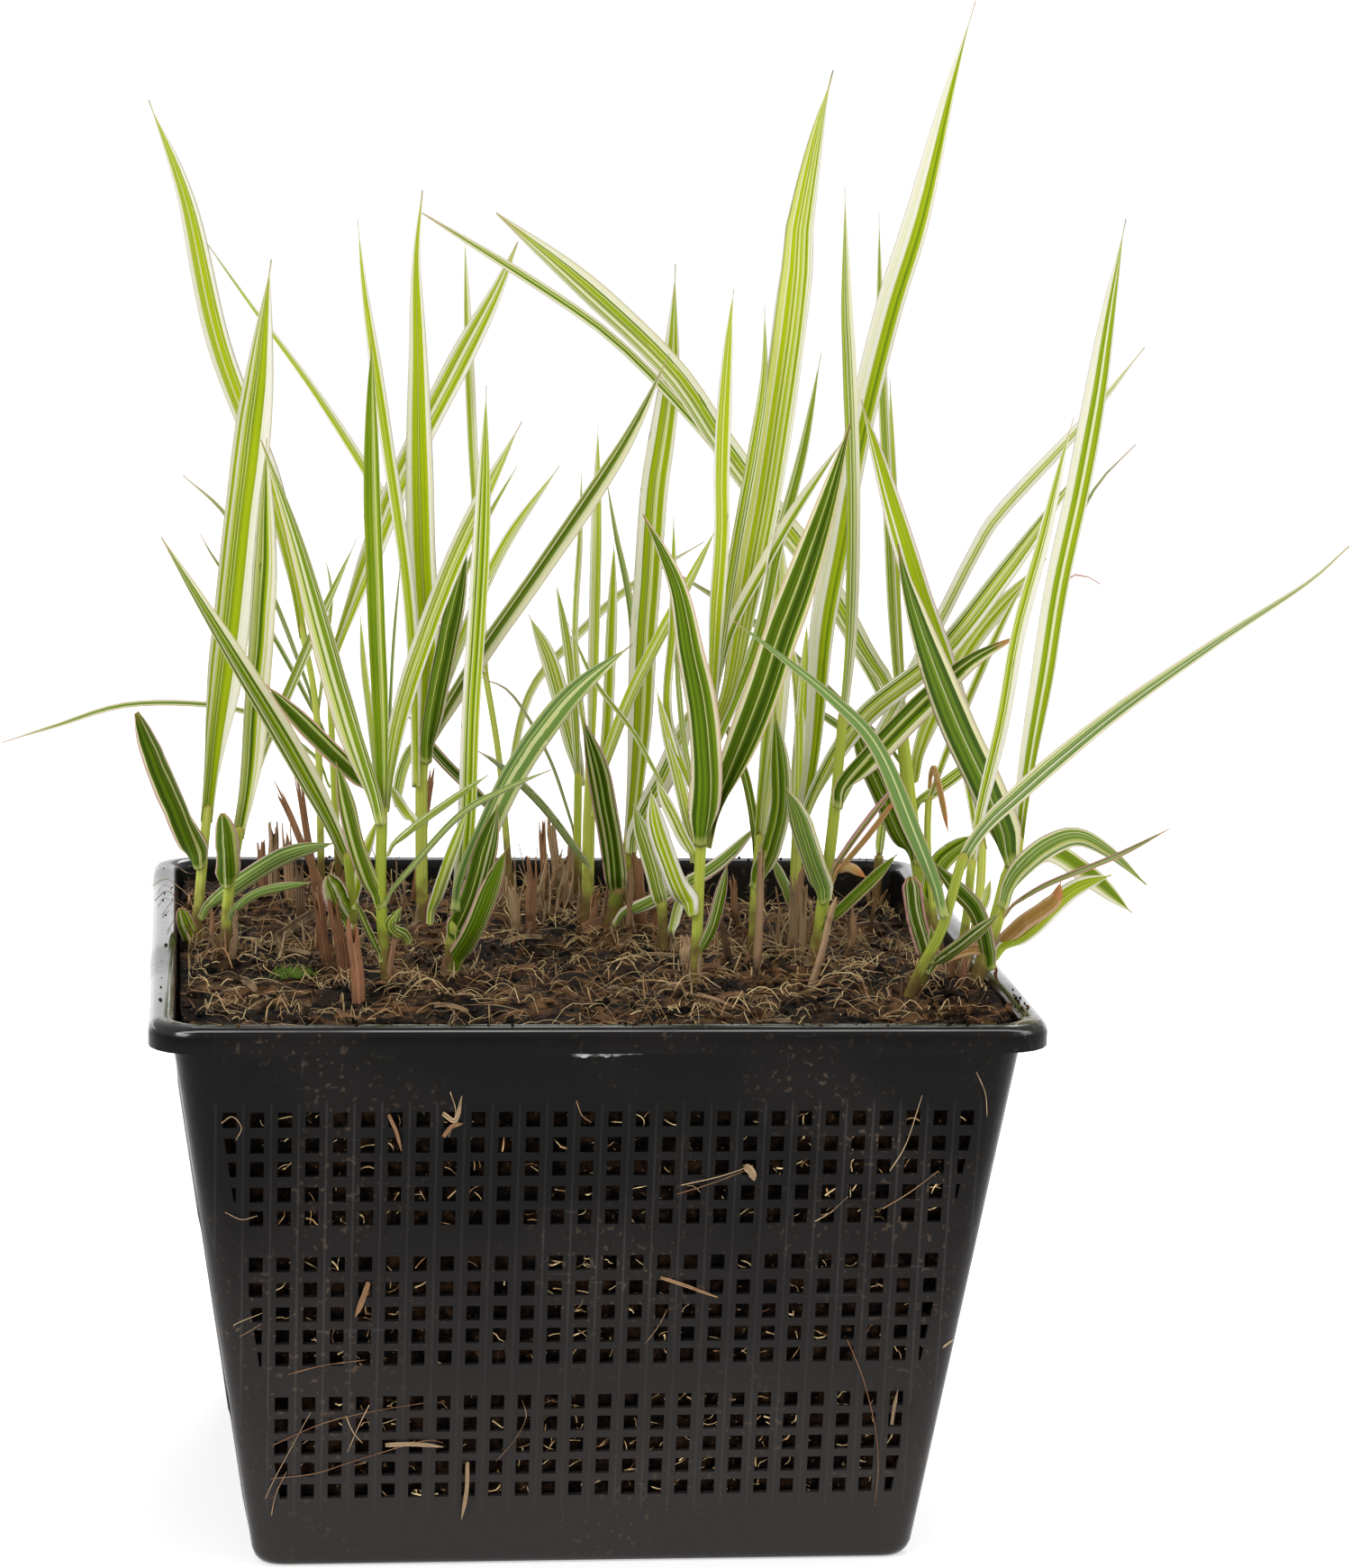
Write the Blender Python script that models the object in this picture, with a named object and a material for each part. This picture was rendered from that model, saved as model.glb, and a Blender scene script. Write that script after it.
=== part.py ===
"""Potted ribbon grass: striped grass shoots standing in a square black planting basket."""

import math
import random
from collections import namedtuple

import bmesh
import bpy
from mathutils import Matrix, Vector, noise
from mathutils.bvhtree import BVHTree

# Basket sizes in metres, measured on a common square pond basket of this proportion.
RIM_WIDTH = 0.190
BASKET_HEIGHT = 0.125
BASE_WIDTH = 0.1438
WALL = 0.0013
LEDGE_WIDTH = 0.0055
SKIRT_DROP = 0.0055
SKIRT_WALL = 0.0015
CORNER_RADIUS = 0.0090
EDGE_SOFTENING = 0.0012
CORNER_STEPS = 4
TAPER = (RIM_WIDTH / 2 - LEDGE_WIDTH + WALL - BASE_WIDTH / 2) / BASKET_HEIGHT

# Openings: three bands of upright slots on each side, and short slots in the floor.
SLOT_BANDS = ((0.0924, 11), (0.0600, 10), (0.0279, 9))
SLOT_HEIGHT = 0.0250
SLOT_PITCH = 0.0138
SLOT_WIDTH = 0.0070
FLOOR_SLOT_PLACES = (-0.045, -0.030, 0.030, 0.045)
FLOOR_SLOT_SIZE = (0.0045, 0.034)
FLOOR_SLOT_ROW = 0.030

# Soil: its top is nearly level with the rim at the front and sinks toward the far right corner.
SOIL_LEVEL = 0.1213
SOIL_RISE = 0.0014
SOIL_ROUGHNESS = 0.0016
SOIL_HOLLOW = 0.0060
SOIL_RINGS = 6
SOIL_RING_POINTS = 24
CLEARANCE = 0.0003

# Blades: thickness at the midrib, and how deep the blade is folded along it, against its width.
BLADE_THICKNESS = 0.0005
SIDE_BLADE_FOLD = 0.16

# How a blade narrows: where it starts, where only a thread is left, and how late it does so.
USUAL_NARROWING = (0.61, 0.975, 2.1)
NARROWING = {
    "leaf_front_broad": (0.35, 1.0, 1.9), "leaf_edge_broad": (0.45, 1.0, 1.6), "corner": (0.15, 1.02, 1.0),
    "leaf_corner_blue": (0.30, 1.0, 1.3), "leaf_front_dark": (0.55, 1.0, 1.6),
    "leaf_arching_broad": (0.80, 1.0, 1.5), "leaf_arching_narrow": (0.84, 1.0, 1.5),
    "leaf_left_long": (0.35, 1.0, 1.3), "left_thick": (0.50, 1.0, 1.2), "left_back_inner": (0.70, 1.0, 1.5),
    "tallest": (0.70, 0.97, 1.6), "leaf_left_inner": (0.40, 1.0, 1.5), "left_front": (0.40, 1.0, 1.6),
    "leaf_right_dark": (0.50, 1.0, 1.6), "leaf_edge_drooping": (0.40, 1.0, 1.2),
}

# Small turns, rooting and the random seed of the leaves.
MAX_TURN = math.radians(28)
SETTLING = 0.16
SEED = 41

# The photograph's view, used to place each culm and blade along its line of sight.
PHOTO_CENTRE = (750.0, 870.5)
FOCAL_PIXELS = 4943.0
VIEWPOINT = Vector((-0.08835, -0.99521, 0.33448))
VIEW_YAW = math.radians(6.43)
VIEW_PITCH = math.radians(-9.88)
VIEW_ROLL = math.radians(1.37)

Shoot = namedtuple("Shoot", "name foot bends collar leaf_bends tip thick wide lean swing blunt")
Leaf = namedtuple("Leaf", "name shoot root bends tip wide start swing")
Straw = namedtuple("Straw", "foot top thick")

# Foot, collar and tip are photo pixels; thick and wide are millimetres across the culm and the blade;
# lean and swing are millimetres that the collar and the tip lie further from the viewer.
SHOOTS = [
    Shoot("left_edge", (218, 1046), [(221, 1000)], (229, 912),
          [(240, 800), (252, 700), (275, 500), (285, 420)], (301, 288), 2.6, 8.8, 2, 6, 0),
    Shoot("left_second", (250, 1062), [(253, 1000)], (264, 930),
          [(274, 870), (282, 770), (290, 650)], (296, 487), 2.6, 5.8, 4, 5, 0),
    Shoot("left_back", (357, 992), [(352, 800)], (337, 708),
          [(325, 640), (296, 530), (240, 380), (205, 220)], (165, 111), 1.8, 5.8, 10, 20, 0),
    Shoot("left_back_inner", (377, 990), [(369, 830)], (366, 740),
          [(395, 660), (445, 530), (505, 410), (550, 325)], (575, 268), 1.8, 6.0, 8, 10, 0),
    Shoot("left_front", (389, 1064), [(391, 1010)], (387, 958),
          [(360, 900), (300, 795), (225, 672)], (179, 596), 2.6, 5.3, -3, -22, 0),
    Shoot("left_culm", (430, 1094), [(423, 1000)], (424, 910),
          [(422, 830), (416, 700), (411, 550), (411, 450)], (413, 368), 2.3, 3.9, 2, -6, 0),
    Shoot("left_thick", (469, 1030), [(468, 960)], (468, 856),
          [(475, 740), (467, 600), (464, 400), (462, 290)], (469, 211), 2.7, 6.8, 4, 10, 0),
    Shoot("left_rear", (567, 992), [(555, 850)], (539, 748),
          [(533, 640), (524, 500), (519, 370)], (516, 258), 1.7, 2.5, 5, 5, 0),
    Shoot("centre_left", (500, 1084), [(504, 1040)], (510, 997),
          [(519, 900), (524, 780), (535, 600)], (540, 428), 3.2, 4.2, -2, 2, 0),
    Shoot("centre_back", (641, 1004), [(641, 940)], (642, 864),
          [(633, 740)], (617, 645), 2.2, 2.5, 4, 6, 0),
    Shoot("centre_pale", (653, 1026), [(653, 950)], (656, 844),
          [(659, 750), (662, 620)], (664, 470), 2.9, 2.8, 4, 6, 0),
    Shoot("centre_dark", (676, 1037), [(681, 1012)], (686, 993),
          [(681, 940), (667, 850)], (647, 796), 4.0, 5.7, 0, -8, 0),
    Shoot("centre_tall", (693, 1008), [(695, 980)], (698, 948),
          [(707, 830), (717, 700), (733, 510)], (750, 293), 3.0, 6.8, -4, 4, 0),
    Shoot("centre_short", (737, 1058), [(736, 1030)], (735, 1005),
          [(724, 965), (714, 930)], (703, 892), 2.4, 4.0, 2, 4, 0),
    Shoot("front", (772, 1092), [(775, 1010), (778, 943), (784, 860)], (790, 790),
          [(799, 680), (803, 530), (807, 420)], (815, 320), 2.3, 3.6, 8, 4, 0),
    Shoot("right_mid", (836, 1060), [(838, 1000)], (843, 936),
          [(850, 860), (860, 770), (866, 680)], (868, 588), 2.4, 5.6, 3, 4, 0),
    Shoot("right_culm", (904, 1070), [(914, 1000), (925, 915)], (935, 806),
          [(946, 700), (949, 550), (944, 400), (937, 290)], (938, 207), 2.7, 3.2, 2, -4, 0),
    Shoot("tallest", (884, 1050), [(883, 1000)], (885, 936),
          [(902, 830), (918, 650), (948, 500), (984, 351), (1022, 230)], (1083, 1), 2.6, 6.3, -1, -8, 0),
    Shoot("right_rear", (972, 1010), [(974, 980)], (976, 950),
          [(979, 925)], (982, 900), 2.6, 2.4, 0, 0, 1),
    Shoot("corner", (1006, 1114), [(1021, 1078), (1046, 1030)], (1066, 962),
          [(1100, 912), (1160, 855), (1250, 784), (1380, 694)], (1498, 606), 2.6, 4.7, -6, -10, 0),
    Shoot("corner_back", (1026, 1060), [(1030, 1010), (1018, 955)], (1003, 826),
          [(993, 700), (984, 500), (978, 360)], (976, 236), 3.0, 2.5, 8, 20, 0),
    Shoot("corner_cut", (1014, 1104), [(1024, 1080)], (1030, 1062),
          [(1018, 1020)], (1011, 973), 3.0, 4.3, -3, -4, 1),
    Shoot("edge_front", (1055, 1081), [(1070, 1040)], (1078, 968),
          [(1089, 900), (1118, 770), (1160, 600)], (1192, 464), 2.3, 3.3, -16, -4, 0),
    Shoot("edge", (1080, 1098), [(1104, 1029), (1121, 966)], (1128, 945),
          [(1139, 850), (1163, 700), (1201, 500)], (1250, 243), 3.2, 5.5, 12, 30, 0),
    Shoot("edge_back", (1068, 1088), [(1080, 1045), (1088, 990)], (1090, 943),
          [(1070, 830), (1015, 655), (984, 545)], (956, 443), 2.4, 5.6, 26, -4, 0),
    Shoot("edge_pale", (1044, 1068), [(1036, 1010), (1030, 940)], (1031, 890),
          [(1055, 825), (1105, 708)], (1140, 640), 1.8, 2.0, 14, 4, 0),
]

# The large side leaves, each a piece of its own; start is how far its root lies behind the culm.
LEAVES = [
    Leaf("leaf_left_blunt", "left_edge", (222, 962), [(210, 925), (180, 855)], (152, 791), 5.6, -2.5, -14),
    Leaf("leaf_left_short", "left_second", (252, 982), [(250, 945)], (247, 903), 5.4, -3, -3),
    Leaf("leaf_left_drooping", "left_back_inner", (369, 872),
         [(345, 836), (270, 789), (150, 781), (60, 806)], (2, 824), 1.3, 2.5, 25),
    Leaf("leaf_left_inner", "left_culm", (423, 914), [(400, 840), (370, 740), (330, 600)],
         (290, 488), 5.6, -3, -12),
    Leaf("leaf_left_leaning", "left_culm", (426, 900), [(440, 800), (470, 702), (520, 580)],
         (579, 468), 4.4, 4, 12),
    Leaf("leaf_left_narrow", "left_thick", (462, 872), [(459, 760), (450, 640), (425, 470), (405, 330)],
         (397, 243), 3.1, -3, 3),
    Leaf("leaf_left_dark", "left_thick", (473, 844), [(478, 795), (495, 705)], (520, 603), 5.0, -6, -6),
    Leaf("leaf_left_twisted", "left_thick", (466, 862),
         [(482, 815), (530, 730), (600, 630), (667, 532), (705, 470)], (743, 393), 4.3, 3, -6),
    Leaf("leaf_left_long", "left_rear", (538, 745), [(500, 680), (430, 560), (350, 435), (280, 340)],
         (230, 270), 2.9, -2, 15),
    Leaf("leaf_centre_blue", "centre_left", (506, 1008), [(517, 972), (535, 925), (575, 845), (630, 772)],
         (702, 715), 5.5, -4, -4),
    Leaf("leaf_centre_striped", "centre_back", (645, 872), [(632, 815), (610, 735)],
         (587, 682), 4.6, 3, 8),
    Leaf("leaf_centre_upright", "centre_pale", (658, 890), [(671, 830), (677, 720)],
         (682, 598), 2.8, 3, 6),
    Leaf("leaf_centre_leaning", "centre_pale", (658, 905), [(672, 845), (705, 760), (765, 645)],
         (797, 583), 2.9, -3, 4),
    Leaf("leaf_centre_white", "centre_tall", (700, 945), [(714, 900), (740, 850)],
         (769, 780), 5.6, -4, -8),
    Leaf("leaf_front_broad", "front", (777, 938), [(781, 870), (776, 780), (753, 660)],
         (714, 571), 7.0, -3, -6),
    Leaf("leaf_front_low", "front", (769, 1014), [(752, 975), (733, 920)], (722, 876), 4.7, -2.5, -4),
    Leaf("leaf_front_dark", "front", (784, 940), [(801, 880), (843, 775), (887, 650), (917, 560)],
         (944, 470), 8.0, 3, 4),
    Leaf("leaf_front_tall", "front", (790, 814), [(808, 770), (832, 670), (862, 500), (889, 300)],
         (925, 78), 7.6, 7, 8),
    Leaf("leaf_mid_curved", "right_mid", (839, 985), [(858, 940), (869, 880)], (861, 790), 4.9, -3, -3),
    Leaf("leaf_right_low", "right_culm", (916, 1000), [(898, 950), (884, 905)], (873, 874), 5.2, -3, -3),
    Leaf("leaf_right_upright", "tallest", (884, 950), [(886, 860), (893, 770)], (896, 688), 3.4, 3, 3),
    Leaf("leaf_right_dark", "right_culm", (929, 895), [(985, 826), (1035, 780), (1080, 732)],
         (1131, 705), 5.8, -3, 4),
    Leaf("leaf_right_pale", "right_culm", (931, 888), [(985, 800), (1040, 697), (1112, 568), (1200, 473)],
         (1271, 385), 3.1, 11, 44),
    Leaf("leaf_right_long", "tallest", (886, 918), [(950, 805), (1040, 728), (1115, 635)],
         (1204, 515), 5.0, -7, -12),
    Leaf("leaf_corner_bright", "corner_back", (1013, 864), [(1035, 800), (1083, 710)],
         (1162, 620), 4.5, 9, 12),
    Leaf("leaf_corner_broad", "corner_back", (1019, 955), [(1000, 920), (972, 855)],
         (944, 798), 7.0, -3, 8),
    Leaf("leaf_arching_broad", "corner_back", (1001, 826),
         [(960, 725), (880, 590), (775, 452), (660, 325)], (551, 236), 6.0, 5, 36),
    Leaf("leaf_arching_narrow", "corner_back", (1012, 872),
         [(993, 808), (958, 735), (880, 605), (790, 490), (640, 350)], (467, 235), 2.2, 12, 46),
    Leaf("leaf_corner_blue", "corner", (1050, 1016), [(1018, 925), (975, 830), (900, 755)],
         (815, 689), 4.0, -3, -2),
    Leaf("leaf_edge_broad", "edge", (1124, 960), [(1105, 900), (1062, 805), (1020, 690)],
         (997, 604), 8.2, -3, 22),
    Leaf("leaf_edge_drooping", "edge", (1112, 1004), [(1140, 962), (1190, 932), (1232, 948)],
         (1273, 982), 5.2, -3, -14),
    Leaf("leaf_edge_bent", "edge", (1118, 985), [(1160, 945), (1205, 968)], (1257, 1013), 4.6, 5, -4),
]

# Smaller leaves, grown into their culm and joined to it.
SMALL_LEAVES = [
    Leaf("low", "left_edge", (222, 1016), [(255, 990), (312, 953)], (372, 935), 4.1, -3, -8),
    Leaf("thin", "left_second", (263, 936), [(285, 850), (312, 785), (352, 693)], (396, 598), 2.3, 3, 12),
    Leaf("dry", "left_second", (252, 1018), [(285, 991)], (345, 979), 2.0, -3, -6),
    Leaf("rounded", "left_front", (390, 1026), [(377, 998)], (364, 972), 6.2, -3, -5),
    Leaf("pink", "left_culm", (423, 1006), [(398, 940), (386, 890)], (373, 845), 4.0, -2, -6),
    Leaf("thin", "left_culm", (423, 1004), [(455, 965), (510, 905), (560, 876)], (612, 854), 1.4, -2, -10),
    Leaf("far", "left_rear", (560, 905), [(585, 775), (640, 705), (700, 650)], (782, 601), 2.1, 2, 4),
    Leaf("dark", "centre_left", (504, 1042), [(525, 990)], (553, 893), 5.6, -6, -5),
    Leaf("pink", "centre_left", (502, 1074), [(528, 1030)], (563, 940), 4.6, -8, -6),
    Leaf("side", "centre_pale", (655, 852), [(639, 720), (644, 600)], (646, 518), 1.6, -2, -3),
    Leaf("dull", "centre_tall", (698, 952), [(703, 830), (703, 690), (684, 590)], (672, 524), 1.8, 3, 4),
    Leaf("lying", "centre_dark", (680, 1020), [(720, 1000), (790, 962)], (846, 912), 3.3, -4, -4),
    Leaf("pale", "front", (775, 956), [(758, 880)], (728, 762), 2.9, 7, 6),
    Leaf("young", "front", (773, 1064), [(792, 1025)], (808, 958), 2.8, -2, -4),
    Leaf("hidden", "front", (780, 905), [(741, 800), (746, 690)], (748, 568), 2.1, 11, 6),
    Leaf("upper", "front", (789, 802), [(811, 650), (838, 500), (849, 420)], (849, 338), 2.6, 3, 4),
    Leaf("cream", "front", (789, 796), [(808, 708), (850, 622), (885, 562)], (938, 486), 2.7, 4, 2),
    Leaf("bright", "front", (786, 860), [(796, 822), (840, 705), (862, 605), (890, 500)], (912, 391), 2.8, 16, 10),
    Leaf("pink", "right_mid", (842, 950), [(826, 862)], (797, 784), 2.1, 3, 3),
    Leaf("far", "corner_back", (1006, 845), [(945, 790), (850, 700)], (742, 630), 1.9, 4, 40),
    Leaf("thin", "edge", (1111, 1014), [(1160, 983), (1240, 950)], (1298, 920), 1.2, -4, -20),
    Leaf("light", "edge", (1102, 1060), [(1145, 1030), (1190, 988)], (1234, 971), 4.2, -3, -16),
    Leaf("dark", "edge", (1099, 1072), [(1085, 1015), (1060, 985)], (1037, 957), 4.0, -5, -2),
    Leaf("round", "edge_pale", (1033, 1000), [(1045, 960)], (1078, 930), 5.0, 3, 2),
    Leaf("pink", "right_culm", (910, 1030), [(958, 985)], (996, 948), 2.8, -4, -8),
]

# Dead culms that stand in the soil; foot and top are photo pixels, thick is millimetres.
STRAWS = [
    Straw((396, 1108), (390, 1030), 3.2),
    Straw((441, 1094), (439, 1036), 2.0),
    Straw((591, 1040), (590, 952), 2.2),
    Straw((572, 1036), (567, 975), 2.4),
    Straw((305, 1000), (303, 913), 2.4),
    Straw((322, 1004), (318, 915), 2.2),
    Straw((366, 1004), (328, 850), 2.2),
    Straw((457, 1000), (478, 855), 2.0),
    Straw((618, 1002), (612, 905), 3.0),
    Straw((712, 1036), (706, 950), 4.0),
    Straw((897, 1096), (927, 995), 3.4),
    Straw((866, 1062), (888, 962), 3.4),
]


def empty_scene():
    """Clear whatever the start-up file holds."""
    for thing in list(bpy.data.objects):
        bpy.data.objects.remove(thing, do_unlink=True)


def new_collection(name):
    """Make a collection in the scene."""
    group = bpy.data.collections.new(name)
    bpy.context.scene.collection.children.link(group)
    return group


def plain_material(name, colour, roughness):
    """Make a material with one colour and one roughness."""
    material = bpy.data.materials.new(name)
    material.use_nodes = True
    shader = material.node_tree.nodes["Principled BSDF"]
    shader.inputs["Base Color"].default_value = (*colour, 1.0)
    shader.inputs["Roughness"].default_value = roughness
    shader.inputs["Metallic"].default_value = 0.0
    material.diffuse_color = (*colour, 1.0)
    return material


def object_from(bm, name, group, material):
    """Turn a bmesh into a named object in a collection."""
    bmesh.ops.recalc_face_normals(bm, faces=bm.faces)
    mesh = bpy.data.meshes.new(name)
    bm.to_mesh(mesh)
    bm.free()
    thing = bpy.data.objects.new(name, mesh)
    thing.data.materials.append(material)
    group.objects.link(thing)
    return thing


def view_axes():
    """Directions of the photograph's view: forward, right and up."""
    forward = Vector((math.sin(VIEW_YAW) * math.cos(VIEW_PITCH),
                      math.cos(VIEW_YAW) * math.cos(VIEW_PITCH), math.sin(VIEW_PITCH)))
    level_right = Vector((math.cos(VIEW_YAW), -math.sin(VIEW_YAW), 0.0))
    level_up = level_right.cross(forward)
    right = level_right * math.cos(VIEW_ROLL) + level_up * math.sin(VIEW_ROLL)
    up = level_up * math.cos(VIEW_ROLL) - level_right * math.sin(VIEW_ROLL)
    return forward, right, up


def sight_line(pixel):
    """Direction from the viewpoint through a photo pixel."""
    forward, right, up = view_axes()
    across = (pixel[0] - PHOTO_CENTRE[0]) / FOCAL_PIXELS
    upward = (PHOTO_CENTRE[1] - pixel[1]) / FOCAL_PIXELS
    return forward + right * across + up * upward


def seen(pixel, depth):
    """The point on a pixel's sight line that lies at the given y."""
    line = sight_line(pixel)
    return VIEWPOINT + line * ((depth - VIEWPOINT.y) / line.y)


def soil_height(x, y):
    """Height of the soil's top at a place."""
    lumps = noise.noise(Vector((x * 45.0, y * 45.0, 3.0))) * SOIL_ROUGHNESS
    toward_front = -y / (RIM_WIDTH / 2)
    toward_corner = max(0.0, (x + y - 0.04) / 0.12)
    return SOIL_LEVEL + lumps + SOIL_RISE * toward_front - SOIL_HOLLOW * min(1.0, toward_corner)


def on_soil(pixel):
    """Where a pixel's sight line meets the soil."""
    line = sight_line(pixel)
    level = SOIL_LEVEL
    for _ in range(6):
        point = VIEWPOINT + line * ((level - VIEWPOINT.z) / line.z)
        level = soil_height(point.x, point.y)
    return point


def rounded_square(half, radius, height, steps=CORNER_STEPS):
    """Points of a square with round corners, seen from above, anticlockwise."""
    points = []
    for corner in range(4):
        start = corner * math.pi / 2
        middle = start + math.pi / 4
        centre = Vector((math.cos(middle), math.sin(middle))) * (half - radius) * math.sqrt(2)
        for step in range(steps + 1):
            angle = start + step / steps * math.pi / 2
            points.append(Vector((centre.x + radius * math.cos(angle),
                                  centre.y + radius * math.sin(angle), height)))
    return points


def skin(rings):
    """Join rings of equal length into a closed skin."""
    bm = bmesh.new()
    loops = [[bm.verts.new(point) for point in ring] for ring in rings]
    for lower, upper in zip(loops, loops[1:]):
        count = len(lower)
        for index in range(count):
            after = (index + 1) % count
            bm.faces.new((lower[index], lower[after], upper[after], upper[index]))
    bm.faces.new(list(reversed(loops[0])))
    bm.faces.new(loops[-1])
    return bm


def flat_skin(rings):
    """Closed skin of flat triangles, so that a twisted blade has one exact shape."""
    bm = skin(rings)
    bmesh.ops.triangulate(bm, faces=bm.faces)
    return bm


def outer_half(height):
    """Half the basket's outer width at a height on its wall."""
    return BASE_WIDTH / 2 + TAPER * height


def slot_cutters(group, material):
    """Boxes that cut the wall slots of two opposite sides, and the floor slots."""
    cutters = []
    for turn in (0.0, math.pi / 2):
        bm = bmesh.new()
        for height, count in SLOT_BANDS:
            for column in range(count):
                x = (column - (count - 1) / 2) * SLOT_PITCH
                size = Matrix.Diagonal((SLOT_WIDTH, RIM_WIDTH * 1.2, SLOT_HEIGHT, 1.0))
                place = Matrix.Rotation(turn, 4, "Z") @ Matrix.Translation((x, 0.0, height))
                bmesh.ops.create_cube(bm, size=1.0, matrix=place @ size)
        cutters.append(object_from(bm, "slot_cutter", group, material))
    bm = bmesh.new()
    for x in FLOOR_SLOT_PLACES:
        for y in (-FLOOR_SLOT_ROW, FLOOR_SLOT_ROW):
            size = Matrix.Diagonal((FLOOR_SLOT_SIZE[0], FLOOR_SLOT_SIZE[1], WALL * 6, 1.0))
            bmesh.ops.create_cube(bm, size=1.0, matrix=Matrix.Translation((x, y, 0.0)) @ size)
    cutters.append(object_from(bm, "floor_slot_cutter", group, material))
    for cutter in cutters:
        cutter.hide_render = True
        cutter.display_type = "WIRE"
    return cutters


def make_basket(group, cutter_group, material):
    """Tapered shell with a flat ledge and a skirt, cut by its slots."""
    rim = RIM_WIDTH / 2
    top = BASKET_HEIGHT
    under = top - WALL
    soft = EDGE_SOFTENING
    profile = [
        (BASE_WIDTH / 2 - soft, 0.0), (BASE_WIDTH / 2, soft), (outer_half(under), under),
        (rim - SKIRT_WALL, under), (rim - SKIRT_WALL, top - SKIRT_DROP), (rim, top - SKIRT_DROP),
        (rim, top - soft), (rim - soft, top), (outer_half(top) - WALL, top),
        (outer_half(WALL) - WALL, WALL),
    ]
    rings = []
    for half, height in profile:
        inset = max(0.0, outer_half(height) - half)
        rings.append(rounded_square(half, max(0.003, CORNER_RADIUS - inset), height))
    basket = object_from(skin(rings), "basket", group, material)
    for cutter in slot_cutters(cutter_group, material):
        cut = basket.modifiers.new("slots", "BOOLEAN")
        cut.operation = "DIFFERENCE"
        cut.object = cutter
    return basket


def make_soil(group, cutter_group, material):
    """Tapered block of soil with an uneven top and dead culms standing in it."""
    def inner_half(height):
        return outer_half(height) - WALL - CLEARANCE * 1.5

    foot = WALL + CLEARANCE
    edge = inner_half(SOIL_LEVEL)
    rings = [rounded_square(inner_half(foot), CORNER_RADIUS - WALL, foot, 5)]
    for ring in range(SOIL_RINGS, 0, -1):
        share = ring / SOIL_RINGS
        top = []
        for point in rounded_square(edge * share, (CORNER_RADIUS - WALL) * share, 0.0, 5):
            fit = inner_half(soil_height(point.x, point.y)) / edge
            top.append(Vector((point.x * fit, point.y * fit, soil_height(point.x, point.y))))
        rings.append(top)
    soil = object_from(flat_skin(rings), "soil", group, material)
    bm = bmesh.new()
    for straw in STRAWS:
        foot_point = on_soil(straw.foot)
        top_point = seen(straw.top, foot_point.y)
        axis = top_point - foot_point
        sunk = foot_point - axis.normalized() * 0.003
        tall = (top_point - sunk).length
        turn = axis.to_track_quat("Z", "Y").to_matrix().to_4x4()
        place = Matrix.Translation((sunk + top_point) / 2) @ turn
        radius = straw.thick * 0.0005
        bmesh.ops.create_cone(bm, cap_ends=True, segments=5, radius1=radius, radius2=radius * 0.8,
                              depth=tall, matrix=place)
    straws = object_from(bm, "straw_cutter", cutter_group, material)
    straws.hide_render = True
    straws.display_type = "WIRE"
    join = soil.modifiers.new("dead culms", "BOOLEAN")
    join.operation = "UNION"
    join.object = straws
    return soil


def through(points, t):
    """Point at fraction t of a smooth curve through the points, by chord length."""
    spans = [(b - a).length for a, b in zip(points, points[1:])]
    along = max(0.0, min(1.0, t)) * sum(spans)
    index = 0
    while index < len(spans) - 1 and along > spans[index]:
        along -= spans[index]
        index += 1
    u = along / spans[index]
    a = points[index - 1] if index > 0 else points[0] * 2 - points[1]
    b = points[index]
    c = points[index + 1]
    d = points[index + 2] if index + 2 < len(points) else points[-1] * 2 - points[-2]
    return 0.5 * (b * 2 + (c - a) * u + (a * 2 - b * 5 + c * 4 - d) * u * u
                  + (b * 3 - a - c * 3 + d) * u * u * u)


def frame_at(points, t, turn):
    """Place, side and face directions of a blade at fraction t of its path."""
    step = 0.01
    here = through(points, t)
    along = (through(points, min(1.0, t + step)) - through(points, max(0.0, t - step))).normalized()
    toward = (VIEWPOINT - here).normalized()
    side = along.cross(toward).normalized()
    side = Matrix.Rotation(turn, 3, along) @ side
    return here, side, side.cross(along).normalized()


def blade_width(name, t, blunt):
    """Share of a blade's full width at fraction t; it narrows toward a thread."""
    rise = min(1.0, 0.42 + 2.6 * t)
    if blunt:
        return rise
    shoulder, thread, power = NARROWING.get(name, USUAL_NARROWING)
    toward_tip = min(1.0, max(0.0, (t - shoulder) / (thread - shoulder)))
    return rise * (1.0 - toward_tip ** power)


def path_points(pixels, depths):
    """World points of a path given by pixels and depths."""
    return [seen(pixel, depth) for pixel, depth in zip(pixels, depths)]


def shares(pixels):
    """Fraction of the path's length at each of its pixels."""
    spans = [math.dist(a, b) for a, b in zip(pixels, pixels[1:])]
    total = sum(spans)
    return [sum(spans[:index]) / total for index in range(len(pixels))]


def turn_of(name):
    """A steady small turn about its own length for each blade."""
    return random.Random(SEED + sum(map(ord, name))).uniform(-MAX_TURN, MAX_TURN)


def culm_path(shoot):
    """World points of a culm from foot to collar."""
    foot = on_soil(shoot.foot)
    pixels = [shoot.foot, *shoot.bends, shoot.collar]
    depths = [foot.y + shoot.lean * 0.001 * share for share in shares(pixels)]
    return path_points(pixels, depths)


def ground_under(ground, ring):
    """Highest point of the soil under a ring of points."""
    top = 0.0
    for point in ring:
        above = Vector((point.x, point.y, BASKET_HEIGHT * 2))
        hit = ground.ray_cast(above, Vector((0.0, 0.0, -1.0)))[0]
        if hit is not None:
            top = max(top, hit.z)
    return top


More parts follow.
